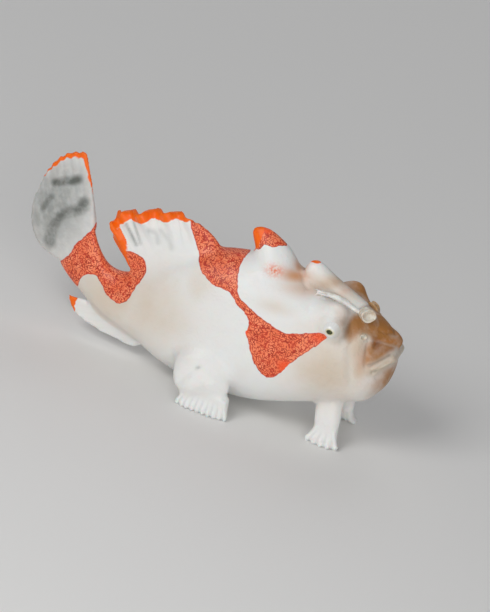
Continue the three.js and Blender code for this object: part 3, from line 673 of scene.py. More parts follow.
def to_frame(piece):
    """Brings a piece modelled in the fish's millimetres to the frame's metres."""
    only(piece)
    piece.location = (SHIFT_X * MM, 0, 0)
    piece.scale = (MM, MM, MM)
    bpy.ops.object.transform_apply(location=True, rotation=True, scale=True)


def rings(sides, cuts, place):
    """A closed tube with its ends capped. place gives its points from t along it, the
    turn round it and the reach, 1 on its wall and 0 at the middle of its ends."""
    piece = started(
        bpy.ops.mesh.primitive_cylinder_add, vertices=sides, radius=1, depth=1,
        end_fill_type="TRIFAN",
    )
    ends = places_of(piece)[edges_of(piece)]
    select_in_mesh(piece, "EDGE", np.abs(ends[:, 0, 2] - ends[:, 1, 2]) > 0.5)
    bpy.ops.mesh.subdivide(number_cuts=cuts)
    bpy.ops.object.mode_set(mode="OBJECT")
    x, y, z = places_of(piece).T
    put_places(piece, place(z + 0.5, np.arctan2(y, x), np.round(np.hypot(x, y))))
    return piece


def trunk_points(t, turn, reach):
    """Points of the trunk's and head's skin."""
    x, z, tall, wide, lean, pear = smooth_rows(TRUNK, t).T

    def squared(value):
        return np.sign(value) * np.abs(value) ** (2 / SQUARENESS)

    high = squared(np.sin(turn)) * reach
    out = squared(np.cos(turn)) * reach * wide * (1 - pear * high)
    lean = np.radians(lean)
    points = np.column_stack([
        x + high * tall * np.sin(lean), out, z + high * tall * np.cos(lean),
    ])
    return bent(swollen(points))


def limb_points(rows, side, across, upright=None):
    """A function that gives the points of an oval limb through its sections, which lie
    square to its line or to a direction that is given."""
    def place(t, turn, reach):
        look = 0.02
        middle = smooth_rows(rows, t)
        ahead = smooth_rows(rows, t + look)[:, :3] - smooth_rows(rows, t - look)[:, :3]
        if upright is not None:
            ahead[:] = upright
        ahead /= np.linalg.norm(ahead, axis=1)[:, None]
        wide = np.array(across) - ahead * (ahead @ np.array(across))[:, None]
        wide /= np.linalg.norm(wide, axis=1)[:, None]
        tall = np.cross(ahead, wide)
        points = middle[:, :3].copy()
        points += wide * (np.cos(turn) * reach * middle[:, 3])[:, None]
        points += tall * (np.sin(turn) * reach * middle[:, 4])[:, None]
        points[:, 1] *= side
        return points
    return place


def ray_rise(form, across):
    """How far a fin rises into its rays: 1 on a ray, 0 between two."""
    return 0.5 + 0.5 * np.cos(2 * np.pi * (across * form["rays"] - 0.5))


def bezier(along):
    """The three weights of a curve's root, bend and tip."""
    return (1 - along) ** 2, 2 * along * (1 - along), along ** 2


def median_fin(keys, form, across, along):
    """The middle surface of a fin in the fish's middle plane."""
    key = smooth_rows(keys, across)
    along = along * (1 - form["scallop"] * (1 - ray_rise(form, across)))
    root, bend, tip = bezier(along)
    x = root * key[:, 0] + bend * key[:, 2] + tip * key[:, 4]
    z = root * key[:, 1] + bend * key[:, 3] + tip * key[:, 5]
    swing = form["wave"] * across * tip * np.sin(across * form["waves"] * 2 * np.pi)
    ruffle = smooth_step(along, *RUFFLED_ALONG) * smooth_step(across, *RUFFLED_ACROSS)
    swing += form["ruffle"] * ruffle * np.sin(across ** 1.3 * form["ruffles"] * 2 * np.pi)
    return bent(np.column_stack([x, swing, z]))


def foot_fan(size, form, side, across, along):
    """The middle surface of a hand or foot, down the limb and out over the floor."""
    aside = 2 * across - 1
    along = along * (1 - form["scallop"] * (1 - ray_rise(form, across)))
    root, bend, tip = bezier(along)
    bend_half = size["root_half"] + BEND_SPREAD * (size["toe_half"] - size["root_half"])
    half = root * size["root_half"] + bend * bend_half + tip * size["toe_half"]
    toe_y = size["toe_y"] - TOE_ROUND * aside ** 2
    y = root * size["root_y"] + bend * (size["root_y"] + INSTEP) + tip * toe_y
    z = root * size["root"] + bend * (TOE_Z + INSTEP) + tip * TOE_Z
    return np.column_stack([size["x"] + aside * half, side * y, z])


def fin_surfaces():
    """Each fin's form and the function of its middle surface."""
    surfaces = []
    for name, keys in (("caudal", CAUDAL), ("dorsal", DORSAL), ("anal", ANAL)):
        surfaces.append((FINS[name], partial(median_fin, keys, FINS[name])))
    for side in (-1, 1):
        for name, size in (("hand", HAND), ("foot", FOOT)):
            surfaces.append((FINS[name], partial(foot_fan, size, FINS[name], side)))
    return surfaces


def fin_sheet(form, surface):
    """A fin as a closed sheet, thick at its root and raised along its rays."""
    piece = started(
        bpy.ops.mesh.primitive_grid_add, x_subdivisions=ACROSS_STEPS,
        y_subdivisions=ALONG_STEPS, size=2,
    )
    x, y, _ = places_of(piece).T
    across = (x + 1) / 2
    along = (y + 1) / 2
    put_places(piece, surface(across, along))
    half = form["edge"] + form["root"] * (1 - along) ** form["taper"]
    half += form["ridge"] * ray_rise(form, across)
    inwards = smooth_step(np.minimum(across, 1 - across), 0.0, SIDE_SHARE)
    half *= SIDE_REST + SIDE_GAIN * inwards
    weigh(piece, "thickness", half / half.max())
    apply_modifier(
        piece, "SOLIDIFY", thickness=2 * half.max(), offset=0, vertex_group="thickness",
    )
    piece.vertex_groups.clear()
    return piece


# The plane of the photo's view

def view_axes():
    """The view's right, up and back directions, before the camera's roll."""
    around = math.radians(VIEW_ROUND)
    above = math.radians(VIEW_ABOVE)
    right = np.array([math.cos(around), math.sin(around), 0])
    back = np.array([
        math.sin(around) * math.cos(above), -math.cos(around) * math.cos(above),
        math.sin(above),
    ])
    return right, np.cross(back, right), back


def in_view_plane(points):
    """Points of the fish in the plane of the photo's view, with the far side mirrored
    onto the near one."""
    right, up, _ = view_axes()
    middle = tail_bend(points[:, 0])
    near = points.copy()
    near[:, 1] = middle - np.abs(points[:, 1] - middle)
    near -= KNOWN_PLACE
    return np.column_stack([near @ right, near @ up])


def smooth_outline(corners, steps=4):
    """A closed smooth curve through the corners."""
    corners = np.array(corners)
    count = len(corners)
    wrapped = np.vstack([corners[-1], corners, corners[0], corners[1]])
    t = (1 + np.arange(count * steps) / steps) / (count + 2)
    return smooth_rows(wrapped, t)


def away_from_stretch(points, first, second):
    """The distance of each point from a straight stretch."""
    edge = second - first
    offset = points - first
    share = np.clip(offset @ edge / (edge @ edge), 0, 1)
    return np.linalg.norm(offset - share[:, None] * edge, axis=1)


def depth_inside(points, outline):
    """How far each point lies inside a closed outline, and below 0 outside."""
    best = np.full(len(points), np.inf)
    inside = np.zeros(len(points), bool)
    for first, second in zip(outline, np.roll(outline, -1, axis=0)):
        best = np.minimum(best, away_from_stretch(points, first, second))
        spans = (first[1] > points[:, 1]) != (second[1] > points[:, 1])
        run, rise = second - first
        if rise:
            crossing = first[0] + (points[:, 1] - first[1]) * run / rise
            inside ^= spans & (points[:, 0] < crossing)
    return np.where(inside, best, -best)


def away_from_line(points, line):
    """The distance of each point from a line of straight stretches."""
    best = np.full(len(points), np.inf)
    for first, second in zip(line[:-1], line[1:]):
        best = np.minimum(best, away_from_stretch(points, first, second))
    return best


def half_width(x, z):
    """Half width of the head at x and z, before the swellings."""
    t = np.interp(x, smooth_rows(TRUNK, np.linspace(0, 1, 400))[:, 0], np.linspace(0, 1, 400))
    _, middle, tall, wide, _, pear = smooth_rows(TRUNK, np.atleast_1d(t)).T
    up = np.clip((z - middle) / tall, -1, 1)
    return wide * (1 - np.abs(up) ** SQUARENESS) ** (1 / SQUARENESS) * (1 - pear * up)


def mouth_line(drop):
    """Points round the mouth from corner to corner, dropped square to the mouth by one
    distance or by one for each point."""
    corner = np.array(MOUTH_CORNER)
    front = np.array(MOUTH_FRONT)
    along = (front - corner) / np.linalg.norm(front - corner)
    square = np.array([along[1], -along[0]])
    shares = 1 - (1 - np.linspace(0, 1, 14)) ** 2
    path = corner + shares[:, None] * (front - corner)
    wide = half_width(path[:, 0], path[:, 1])
    wide[-1] = 0
    near = np.column_stack([path[:, 0], -wide, path[:, 1]])
    line = np.vstack([near, near[-2::-1] * (1, -1, 1)])
    line[:, [0, 2]] += square * np.broadcast_to(drop, len(line))[:, None]
    return line


def lips():
    """The upper jaw and the lower lip as tubes either side of the mouth."""
    places = len(mouth_line(0.0))
    middle = np.sin(np.linspace(0, np.pi, places))
    ends = middle ** 0.35
    corner, sides, front = LOWER_LIP
    lower = corner + sides * ends + front * middle ** 3
    jaw = np.vstack([UPPER_JAW, UPPER_JAW[-2::-1] * (1, -1, 1, 1)])
    return [
        tube_along(jaw[:, :3], jaw[:, 3]),
        tube_along(mouth_line(lower + LIP_GAP), lower),
    ]


def eye_mound(side):
    """The swelling of the skin that holds an eye."""
    middle = Vector((EYE_PLACE[0], side * EYE_PLACE[1], EYE_PLACE[2]))
    middle -= MOUND_SINK * mound_aim(side)
    piece = started(
        bpy.ops.mesh.primitive_uv_sphere_add, middle, segments=48, ring_count=30,
        radius=MOUND_RADIUS,
    )
    bpy.ops.object.transform_apply(location=True, rotation=True, scale=True)
    return piece


def tube_along(line, radii, sides=10, cuts=60):
    """A round tube along a line of points, with a radius for each of its rows."""
    rows = np.column_stack([line, radii, radii])
    return rings(sides, cuts, limb_points(rows, 1, (0.12, 0.2, 0.97)))


def nostril_tube(size, tall):
    """An upright tube with a rounded rim, a flared foot and a pit, spun from its outline."""
    outline = np.array(NOSTRIL_OUTLINE) * (size, tall)
    piece = started(bpy.ops.mesh.primitive_plane_add, size=1)
    bpy.ops.object.mode_set(mode="EDIT")
    bpy.ops.mesh.select_mode(type="VERT")
    bpy.ops.mesh.select_all(action="SELECT")
    bpy.ops.mesh.merge(type="CENTER")
    for step in np.diff(outline, axis=0):
        bpy.ops.mesh.extrude_vertices_move(TRANSFORM_OT_translate={"value": (step[0], 0, step[1])})
    bpy.ops.mesh.select_all(action="SELECT")
    bpy.ops.transform.translate(value=(outline[0, 0], 0, outline[0, 1]))
    bpy.ops.mesh.spin(steps=32, angle=2 * math.pi, center=(0, 0, 0), axis=(0, 0, 1))
    bpy.ops.mesh.select_all(action="SELECT")
    bpy.ops.mesh.remove_doubles(threshold=0.0005)
    bpy.ops.mesh.normals_make_consistent(inside=False)
    bpy.ops.object.mode_set(mode="OBJECT")
    apply_modifier(piece, "SUBSURF", levels=1, render_levels=1)
    points = places_of(piece)
    lean = smooth_step(points[:, 2], 0, tall) * np.sin(3 * points[:, 1] / size)
    points[:, 0] += NOSTRIL_WOBBLE * size * lean
    put_places(piece, points)
    return piece


# The skin

def raw_skin():
    """All the flesh as closed meshes in one object, not yet fused."""
    parts = [rings(72, 110, trunk_points)]
    for side in (-1, 1):
        parts.append(rings(40, 26, limb_points(ARM, side, LENGTHWISE)))
        parts.append(rings(32, 22, limb_points(LEG, side, LENGTHWISE)))
    parts.append(rings(36, 34, limb_points(SPINE_2, 1, SIDEWAYS)))
    parts.append(rings(40, 34, limb_points(SPINE_3, 1, SIDEWAYS, SPINE_3_UP)))
    parts += lips()
    parts += [eye_mound(side) for side in (-1, 1)]
    parts += [fin_sheet(form, surface) for form, surface in fin_surfaces()]
    return joined(parts, "frogfish_skin")


def hollow_weights(piece, faint, full):
    """Where the skin is hollow, as at the root of a limb: 0 where it is less than faint
    and 1 where it is full."""
    points = places_of(piece)
    edges = edges_of(piece)
    count = np.maximum(np.bincount(edges.ravel(), minlength=len(points)), 1)[:, None]
    around = np.zeros_like(points)
    np.add.at(around, edges[:, 0], points[edges[:, 1]])
    np.add.at(around, edges[:, 1], points[edges[:, 0]])
    pull = around / count - points
    hollow = np.einsum("ij,ij->i", pull, normals_of(piece))
    weights = smooth_step(hollow, faint, full)
    return np.clip(spread(weights, edges, 5) * 3, 0, 1)


def soften_hollows(piece, weights, passes):
    """Smooths the skin where it has a weight."""
    weigh(piece, "hollows", weights)
    apply_modifier(
        piece, "SMOOTH", factor=0.5, iterations=passes, vertex_group="hollows",
    )
    piece.vertex_groups.clear()


def fused_skin(fineness):
    """The skin as one even mesh, with its joins smoothed into fillets."""
    piece = raw_skin()
    apply_modifier(piece, "REMESH", mode="VOXEL", voxel_size=fineness, adaptivity=0)
    apply_modifier(piece, "SMOOTH", factor=0.5, iterations=TIDY_PASSES)
    x, _, z = places_of(piece).T
    spines = smooth_step(x, *SPINES_FROM) * (1 - smooth_step(x, *SPINES_TO))
    spines = spines * smooth_step(z, *SPINES_ABOVE)
    weights = hollow_weights(piece, *HOLLOW) * (1 - SPINES_CRISP * spines)
    soften_hollows(piece, weights, FILLET_PASSES)
    x, _, z = places_of(piece).T
    trunk = smooth_step(z, *TRUNK_ABOVE) * (1 - smooth_step(x, *TRUNK_TO))
    soften_hollows(piece, hollow_weights(piece, *FAINT_HOLLOW) * trunk, WIDE_FILLET_PASSES)
    return piece


def finer_head(piece):
    """Splits the faces of the head and jaws once more."""
    centres = np.empty(len(piece.data.polygons) * 3)
    piece.data.polygons.foreach_get("center", centres)
    x, _, z = centres.reshape(-1, 3).T
    select_in_mesh(piece, "FACE", (x > HEAD_FROM[0]) & (z > HEAD_FROM[1]))
    bpy.ops.mesh.subdivide(number_cuts=1)
    bpy.ops.object.mode_set(mode="OBJECT")
    head = smooth_step(places_of(piece)[:, 0], *HEAD_RAMP)
    weigh(piece, "head", head)
    apply_modifier(piece, "SMOOTH", factor=0.5, iterations=3, vertex_group="head")
    piece.vertex_groups.clear()


def add_folds(piece):
    """Raises the folds of the skin and presses in the line of the mouth."""
    points = places_of(piece)
    plane = in_view_plane(points)
    rise = np.zeros(len(points))
    for line, height, half in FOLDS:
        away = away_from_line(plane, smooth_line(line))
        rise += height * np.exp(-(away / half) ** 2)
    place, half, height = PORE
    rise += height * soft_spot(plane, place, half)
    for drop, depth, _ in (SLIT, LIP_GROOVE):
        away = away_from_line(points, mouth_line(drop))
        rise -= depth * np.exp(-(away / GROOVE_HALF) ** 2)
    put_places(piece, points + normals_of(piece) * rise[:, None])


def keep_on_floor(piece):
    """Flattens the soles onto the floor."""
    points = places_of(piece)
    points[:, 2] = np.maximum(points[:, 2], 0)
    put_places(piece, points)


# Markings, written on the skin as attributes in millimetres or shares

def write_attribute(piece, name, values):
    """A number at each vertex under a name that the material reads."""
    attribute = piece.data.attributes.new(name, "FLOAT", "POINT")
    attribute.data.foreach_set("value", np.asarray(values, np.float32))


def mark_patches(piece, points, plane):
    """How deep each point lies in a red patch and in an orange tip, in millimetres."""
    depths = [depth_inside(plane, smooth_outline(line)) for line in (SADDLE, TAIL_PATCH, SPINE_TIP)]
    write_attribute(piece, "patch", np.max(depths, axis=0))
    solid = np.zeros(len(points))
    for place, reach, strength in SOLID_RED:
        solid = np.maximum(solid, strength * soft_spot(plane, place, reach))
    write_attribute(piece, "solid", solid)
    line, reach = FINGER_TIP
    finger = reach - away_from_line(points, np.array(line))
    return np.maximum(depth_inside(plane, smooth_outline(SPINE_EDGE)), finger)


def mark_tints(piece, points, plane):
    """Soft tints, as shares, some of them painted shade."""
    tints = {name: np.zeros(len(points)) for name in TINT_NAMES}

    def tint(name, share):
        tints[name] = np.maximum(tints[name], share)

    for name, place, reach, turn, strength in TINTS:
        angle = math.radians(turn)
        turned = np.array([
            [math.cos(angle), -math.sin(angle)], [math.sin(angle), math.cos(angle)],
        ])
        tint(name, strength * soft_spot((plane - place) @ turned, 0, reach))
    # Grey lines: the tail fin's bars, and painted shadows on the back fin's folds
    for line, half, strength in BARS_AND_FOLD_SHADE_LINES:
        away = away_from_line(plane, smooth_line(line)) / half
        tint("grey_bars_and_shade", strength * np.exp(-away ** 2))
    for outline, strength in BROWN_AREAS:
        depth = depth_inside(plane, smooth_outline(outline))
        tint("brown", strength * smooth_step(depth, *SOFT_EDGE))
    mirrored = np.column_stack([points[:, 0], np.abs(points[:, 1]), points[:, 2]])
    for name, place, reach, strength in HEAD_TINTS:
        tint(name, strength * soft_spot(mirrored, place, reach))
    name, place, reach, strength = FAR_BROW
    tint(name, strength * soft_spot(points, place, reach))
    for name, values in tints.items():
        write_attribute(piece, name, values)


def fin_samples():
    """Places on the middle surfaces of the fins and, for each, the number of its ray, its
    share along the ray, its depth in the orange margin and how clear the rays are."""
    samples = []
    facts = []
    steps_along = np.linspace(0, 1, SAMPLES_ALONG)
    grids = np.meshgrid(np.linspace(0, 1, SAMPLES_ACROSS), steps_along)
    across, along = (grid.ravel() for grid in grids)
    for form, surface in fin_surfaces():
        places = surface(across, along)
        tips = surface(across, np.ones_like(along))
        margin = np.linalg.norm(tips - places, axis=1)
        band = smooth_rows(np.array(form["band"])[:, None], across)[:, 0]
        last_ray = surface(np.ones_like(steps_along), steps_along)
        last = away_from_line(places[:, [0, 2]], last_ray[:, [0, 2]])
        grown = smooth_step(along, *form["side_from"])
        side = form["side_band"] * grown + BARE_SIDE * (1 - grown)
        depth = np.maximum(band - margin, side - last)
        seen = np.full_like(along, form["seen"])
        samples.append(places)
        facts.append(np.column_stack([across * form["rays"], along, depth, seen]))
    return np.vstack(samples), np.vstack(facts)


def mark_fins(piece, points, tip):
    """The ray that each point of a fin lies on, how much fin it is, how clear its rays
    are, and how deep it lies in the orange margin."""
    samples, facts = fin_samples()
    tree = kdtree.KDTree(len(samples))
    for index, place in enumerate(samples):
        tree.insert(place, index)
    tree.balance()
    ray, fin, lined = np.zeros((3, len(points)))
    band = tip.copy()
    for index, point in enumerate(points):
        _, found, away = tree.find(point)
        if away > MARK_REACH:
            continue
        ray[index], along_ray, depth, seen = facts[found]
        fin[index] = smooth_step(along_ray, *MARK_ALONG) * (1 - smooth_step(away, *MARK_AWAY))
        lined[index] = seen * fin[index]
        if fin[index] > LEAST_FIN:
            band[index] = max(band[index], depth)
    edges = edges_of(piece)
    for name, values, passes in (("ray", ray, 1), ("fin", fin, 2), ("lined", lined, 2),
                                 ("band", band, 1)):
        write_attribute(piece, name, spread(values, edges, passes))


def mark_mouth(piece, points, plane):
    """The painted shade in the mouth's slit and in the groove under the lower lip, and the pale lip
    and folds near it, as shares.
    """
    shades = []
    for (drop, _, half), strength in ((SLIT, 1.0), (LIP_GROOVE, 0.9)):
        away = away_from_line(points, mouth_line(drop)) / half
        shades.append(strength * np.exp(-away ** 2))
    write_attribute(piece, "slit_and_groove_shade", np.max(shades, axis=0))
    drop, half = PALE_LIP
    lip = 0.95 * np.exp(-(away_from_line(points, mouth_line(drop)) / half) ** 4)
    for index in WHITE_FOLDS:
        line, _, half = FOLDS[index]
        away = away_from_line(plane, smooth_line(line))
        lip = np.maximum(lip, 0.5 * np.exp(-(away / half) ** 2))
    write_attribute(piece, "lip", lip)


def mark_skin(piece):
    """Writes all the markings."""
    points = places_of(piece)
    plane = in_view_plane(points)
    tip = mark_patches(piece, points, plane)
    mark_tints(piece, points, plane)
    mark_fins(piece, points, tip)
    mark_mouth(piece, points, plane)


# Materials

def add(tree, kind, inputs=(), **settings):
    """A shader node with its settings, and its inputs set to values or linked."""
    node = tree.nodes.new(kind)
    for name, value in settings.items():
        setattr(node, name, value)
    for name, value in dict(inputs).items():
        if isinstance(value, bpy.types.NodeSocket):
            tree.links.new(value, node.inputs[name])
        else:
            node.inputs[name].default_value = value
    return node


def calculate(tree, operation, first, second=0.0):
    """The result of a calculation with two numbers."""
    return add(tree, "ShaderNodeMath", {0: first, 1: second}, operation=operation).outputs[0]


def times(tree, first, second):
    """The product of two numbers."""
    return calculate(tree, "MULTIPLY", first, second)


def ramp(tree, value, low, high, start=0.0, end=1.0):
    """A smooth ramp of a value from start, at low, to end, at high."""
    node = add(
        tree, "ShaderNodeMapRange", {0: value, 1: low, 2: high, 3: start, 4: end},
        interpolation_type="SMOOTHSTEP",
    )
    return node.outputs[0]


def blend(tree, share, first, second):
    """A colour between two others."""
    node = add(tree, "ShaderNodeMix", data_type="RGBA")
    for socket, value in ((0, share), (6, first), (7, second)):
        if isinstance(value, bpy.types.NodeSocket):
            tree.links.new(value, node.inputs[socket])
        elif socket == 0:
            node.inputs[socket].default_value = value
        else:
            node.inputs[socket].default_value = (*value, 1)
    return node.outputs[2]


def read(tree, name):
    """A number that is written on the mesh."""
    return add(tree, "ShaderNodeAttribute", attribute_name=name).outputs["Fac"]


def millimetres(tree):
    """The place on the object, in millimetres."""
    place = add(tree, "ShaderNodeTexCoord").outputs["Object"]
    node = add(tree, "ShaderNodeVectorMath", {0: place, 3: 1 / MM}, operation="SCALE")
    return node.outputs[0]


def clouds(tree, place, size, detail=2.0, rough=0.5, distortion=0.0):
    """Soft random values from 0 to 1, with spots of about this size."""
    node = add(tree, "ShaderNodeTexNoise", {
        "Vector": place, "Scale": 1 / size, "Detail": detail, "Roughness": rough,
        "Distortion": distortion,
    })
    return node.outputs[0]


def new_material(name, roughness, coat):
    """A material with a plain shader, its tree and that shader."""
    material = bpy.data.materials.new(name)
    material.use_nodes = True
    tree = material.node_tree
    tree.nodes.clear()
    shader = add(tree, "ShaderNodeBsdfPrincipled", {
        "Roughness": roughness, "Coat Weight": coat, "Coat Roughness": 0.25,
    })
    output = add(tree, "ShaderNodeOutputMaterial")
    tree.links.new(shader.outputs[0], output.inputs[0])
    return material, tree, shader


def fine_grain_group():
    """A shader group that gives the fine, uneven relief of wet skin."""
    tree = bpy.data.node_groups.new("fine_grain", "ShaderNodeTree")
    tree.interface.new_socket("Place", in_out="INPUT", socket_type="NodeSocketVector")
    tree.interface.new_socket("Size", in_out="INPUT", socket_type="NodeSocketFloat")
    tree.interface.new_socket("Height", in_out="OUTPUT", socket_type="NodeSocketFloat")
    entry = add(tree, "NodeGroupInput")
    scale = calculate(tree, "DIVIDE", 1.0, entry.outputs[1])
    fine = add(tree, "ShaderNodeTexNoise", {
        "Vector": entry.outputs[0], "Scale": scale, "Detail": 3.0, "Roughness": 0.6,
    })
    cells = add(tree, "ShaderNodeTexVoronoi", {
        "Vector": entry.outputs[0], "Scale": times(tree, scale, 0.8),
    }, feature="SMOOTH_F1")
    pimple = ramp(tree, cells.outputs[0], 0.0, 0.5, 1.0, 0.0)
    height = calculate(tree, "ADD", times(tree, fine.outputs[0], 0.6), pimple)
    leave = add(tree, "NodeGroupOutput")
    tree.links.new(height, leave.inputs[0])
    return tree


def grain(tree, place, size):
    """The height of the fine grain, with bumps of about this size. Its group is made once."""
    group = bpy.data.node_groups.get("fine_grain") or fine_grain_group()
    node = add(tree, "ShaderNodeGroup", node_tree=group)
    tree.links.new(place, node.inputs[0])
    node.inputs[1].default_value = size
    return node.outputs[0]


def finish_shader(tree, shader, colour, height, strength, distance):
    """Gives the shader its colour and its relief, whose distance is in millimetres."""
    tree.links.new(colour, shader.inputs["Base Color"])
    bump = add(tree, "ShaderNodeBump", {
        "Height": height, "Strength": strength, "Distance": distance * MM,
    })
    tree.links.new(bump.outputs[0], shader.inputs["Normal"])


def see_through(shader, weight, radius, scale):
    """Lets light soften in the skin, over a scale in millimetres."""
    shader.inputs["Subsurface Weight"].default_value = weight
    shader.inputs["Subsurface Radius"].default_value = radius
    shader.inputs["Subsurface Scale"].default_value = scale * MM


def red_network(tree, place, colours, depth):
    """The colour inside a red patch: a fine maze of red on pink with a thin dark rim."""
    middle = calculate(tree, "SUBTRACT", clouds(tree, place, 0.34, 0.0, 0.5, 0.3), 0.5)
    maze = ramp(tree, calculate(tree, "ABSOLUTE", middle), 0.055, 0.115, 1.0, 0.0)
    rim = ramp(tree, depth, 0.06, 0.2, 0.8, 0.0)
    lines = calculate(tree, "MAXIMUM", maze, rim)
    lighter = ramp(tree, clouds(tree, place, 2.0), 0.35, 0.65)
    ground = blend(tree, lighter, colours.pink, DEEP_PINK)
    darker = ramp(tree, clouds(tree, place, 1.1, 1.0), 0.4, 0.62)
    network = blend(tree, lines, ground, blend(tree, darker, colours.red, DEEP_RED))
    solid = ramp(tree, read(tree, "solid"), 0.15, 0.85, 0.0, 0.9)
    return blend(tree, solid, network, SOLID_COLOUR)


def plain_skin(tree, place, medium, colours):
    """White skin with its soft tints, before the rays, bars and patches; the beige is partly
    painted shade, and the mouth's corner tint is painted shade.
    """
    large = clouds(tree, place, 5.0, 3.0)
    # The beige is partly the skin's tan and partly painted shade; the fins keep little of it
    beige_and_shade = times(tree, read(tree, "beige_and_shade"), ramp(tree, large, 0.3, 0.7, 0.85, 1.05))
    beige_and_shade = calculate(tree, "ADD", beige_and_shade, ramp(tree, large, 0.5, 0.75, 0.0, 0.08))
    pale = times(tree, beige_and_shade, ramp(tree, read(tree, "fin"), 0.1, 0.6, 1.0, 0.1))
    brown = times(tree, read(tree, "brown"), ramp(tree, medium, 0.3, 0.6, 0.88, 1.08))
    speckle = ramp(tree, clouds(tree, place, 0.3), 0.38, 0.58, 0.25, 1.0)
    colour = colours.white
    for share, tint in (
        (pale, colours.beige_and_shade),
        (brown, colours.brown),
        (times(tree, read(tree, "lip"), 0.9), PALE_LIP_COLOUR),
        # Painted shade in the mouth's corner
        (read(tree, "mouth_shade"), MOUTH_SHADE_COLOUR),
        (read(tree, "flesh"), FLESH_COLOUR),
        (times(tree, read(tree, "spot"), speckle), SPOT_COLOUR),
    ):
        colour = blend(tree, share, colour, tint)
    return colour


def skin_material(colours):
    """White, faintly see-through skin with all the markings, and with painted shade in the fins'
    ray valleys, the mouth's slit and groove, and in the grey and beige tints.
    """
    material, tree, shader = new_material("frogfish_skin", 0.48, 0.12)
    place = millimetres(tree)
    medium = clouds(tree, place, 1.3, 3.0)
    lined = read(tree, "lined")
    wave = calculate(tree, "COSINE", times(tree, read(tree, "ray"), 2 * math.pi))
    # Painted shade in the valleys between a fin's rays
    valley_shade = times(tree, ramp(tree, wave, -0.2, 1.0), lined)
    crest = times(tree, calculate(tree, "MULTIPLY_ADD", wave, -0.5), lined)
    # The grey holds the tail fin's bars and painted shade: the tail fin's wash, the pore, before
    # the eye and the back fin's folds
    grey_bars_and_shade = times(tree, read(tree, "grey_bars_and_shade"), ramp(tree, medium, 0.3, 0.6, 0.8, 1.05))
    cloud = calculate(tree, "SUBTRACT", clouds(tree, place, 0.9), 0.5)
    wobble = times(tree, cloud, 0.5)
    patch = calculate(tree, "ADD", read(tree, "patch"), wobble)
    band = calculate(tree, "ADD", read(tree, "band"), times(tree, wobble, 0.8))
    colour = plain_skin(tree, place, medium, colours)
    for share, tint in (
        (times(tree, valley_shade, 0.2), RAY_VALLEY_SHADE),
        (grey_bars_and_shade, colours.grey_bars_and_shade),
        # Painted shade in the mouth's slit and under the lower lip
        (times(tree, read(tree, "slit_and_groove_shade"), 0.38), SLIT_SHADE_COLOUR),
        (ramp(tree, patch, -0.05, 0.06), red_network(tree, place, colours, patch)),
        (ramp(tree, band, -0.08, 0.1), colours.orange),
    ):
        colour = blend(tree, share, colour, tint)
    rough = ramp(tree, medium, 0.3, 0.7, 0.36, 0.52)
    tree.links.new(rough, shader.inputs["Roughness"])
    shader.inputs["Specular IOR Level"].default_value = 0.35
    see_through(shader, 0.45, (1.0, 0.55, 0.4), 1.2)
    height = calculate(tree, "ADD", grain(tree, place, 0.35), times(tree, crest, 2.5))
    finish_shader(tree, shader, colour, height, 0.5, 0.05)
    return material


def eye_material(colours, side):
    """A pale eye with a small dark pupil in a yellow ring, faint spokes and painted shade on its
    front.
    """
    material, tree, shader = new_material("frogfish_eye", 0.2, 0.4)
    centre = Vector((EYE_PLACE[0] + SHIFT_X, side * EYE_PLACE[1], EYE_PLACE[2]))
    aim = eye_aim(side)
    across = aim.cross(Vector((0, 0, 1))).normalized()
    upright = across.cross(aim)
    place = add(tree, "ShaderNodeVectorMath", {0: millimetres(tree), 1: centre},
                operation="SUBTRACT").outputs[0]

    def along(axis):
        return add(tree, "ShaderNodeVectorMath", {0: place, 1: axis},
                   operation="DOT_PRODUCT").outputs["Value"]

    def square(value):
        return calculate(tree, "POWER", value, 2.0)

    right = along(across)
    up = along(upright)
    away = calculate(tree, "ADD", square(times(tree, right, 0.72)), square(up))
    away = calculate(tree, "SQRT", away)
    turn = calculate(tree, "ARCTAN2", up, right)
    spokes = ramp(tree, calculate(tree, "COSINE", times(tree, turn, 18.0)), 0.0, 0.9)
    spokes = times(tree, spokes, ramp(tree, away, 0.55, 0.9))
    front = times(tree, right, side)
    cloud = ramp(tree, clouds(tree, place, 0.4, 1.0), 0.45, 0.7)
    colour = colours.white
    for share, tint in (
        (times(tree, spokes, 0.07), SPOKE_COLOUR),
        (ramp(tree, front, 0.2, 1.5, 0.0, 0.6), EYE_FRONT_SHADE),
        (ramp(tree, away, 0.38, 0.58, 0.7, 0.0), IRIS_COLOUR),
        (ramp(tree, away, 0.29, 0.37, 1.0, 0.0), blend(tree, cloud, *PUPIL_COLOURS)),
    ):
        colour = blend(tree, share, colour, tint)
    tree.links.new(colour, shader.inputs["Base Color"])
    return material


def clear_material(name):
    """Thin, clear skin between its light and its deeper colour."""
    material, tree, shader = new_material(name, 0.35, 0.3)
    place = millimetres(tree)
    cloud = ramp(tree, clouds(tree, place, 0.8), 0.4, 0.65)
    colour = blend(tree, cloud, *CLEAR_SKINS[name])
    see_through(shader, 0.5, (1.0, 0.7, 0.5), 0.4)
    finish_shader(tree, shader, colour, grain(tree, place, 0.2), 0.25, 0.03)
    return material


def dress(piece, material, nodes):
    """Gives a finished piece its material and its body, and hides the model's parts that it stands
    for.
    """
    to_frame(piece)
    piece.data.materials.clear()
    piece.data.materials.append(material)
    only(piece)
    bpy.ops.object.shade_smooth()
    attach(piece, "root")
    if nodes:
        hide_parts(*nodes)


def eye_aim(side):
    """The direction in which an eye looks."""
    return Vector((-0.01, side * 0.99, 0.08)).normalized()


def mound_aim(side):
    """The direction in which the mound of an eye stands out."""
    return Vector((0.1, side * 0.94, 0.2)).normalized()


# Operators

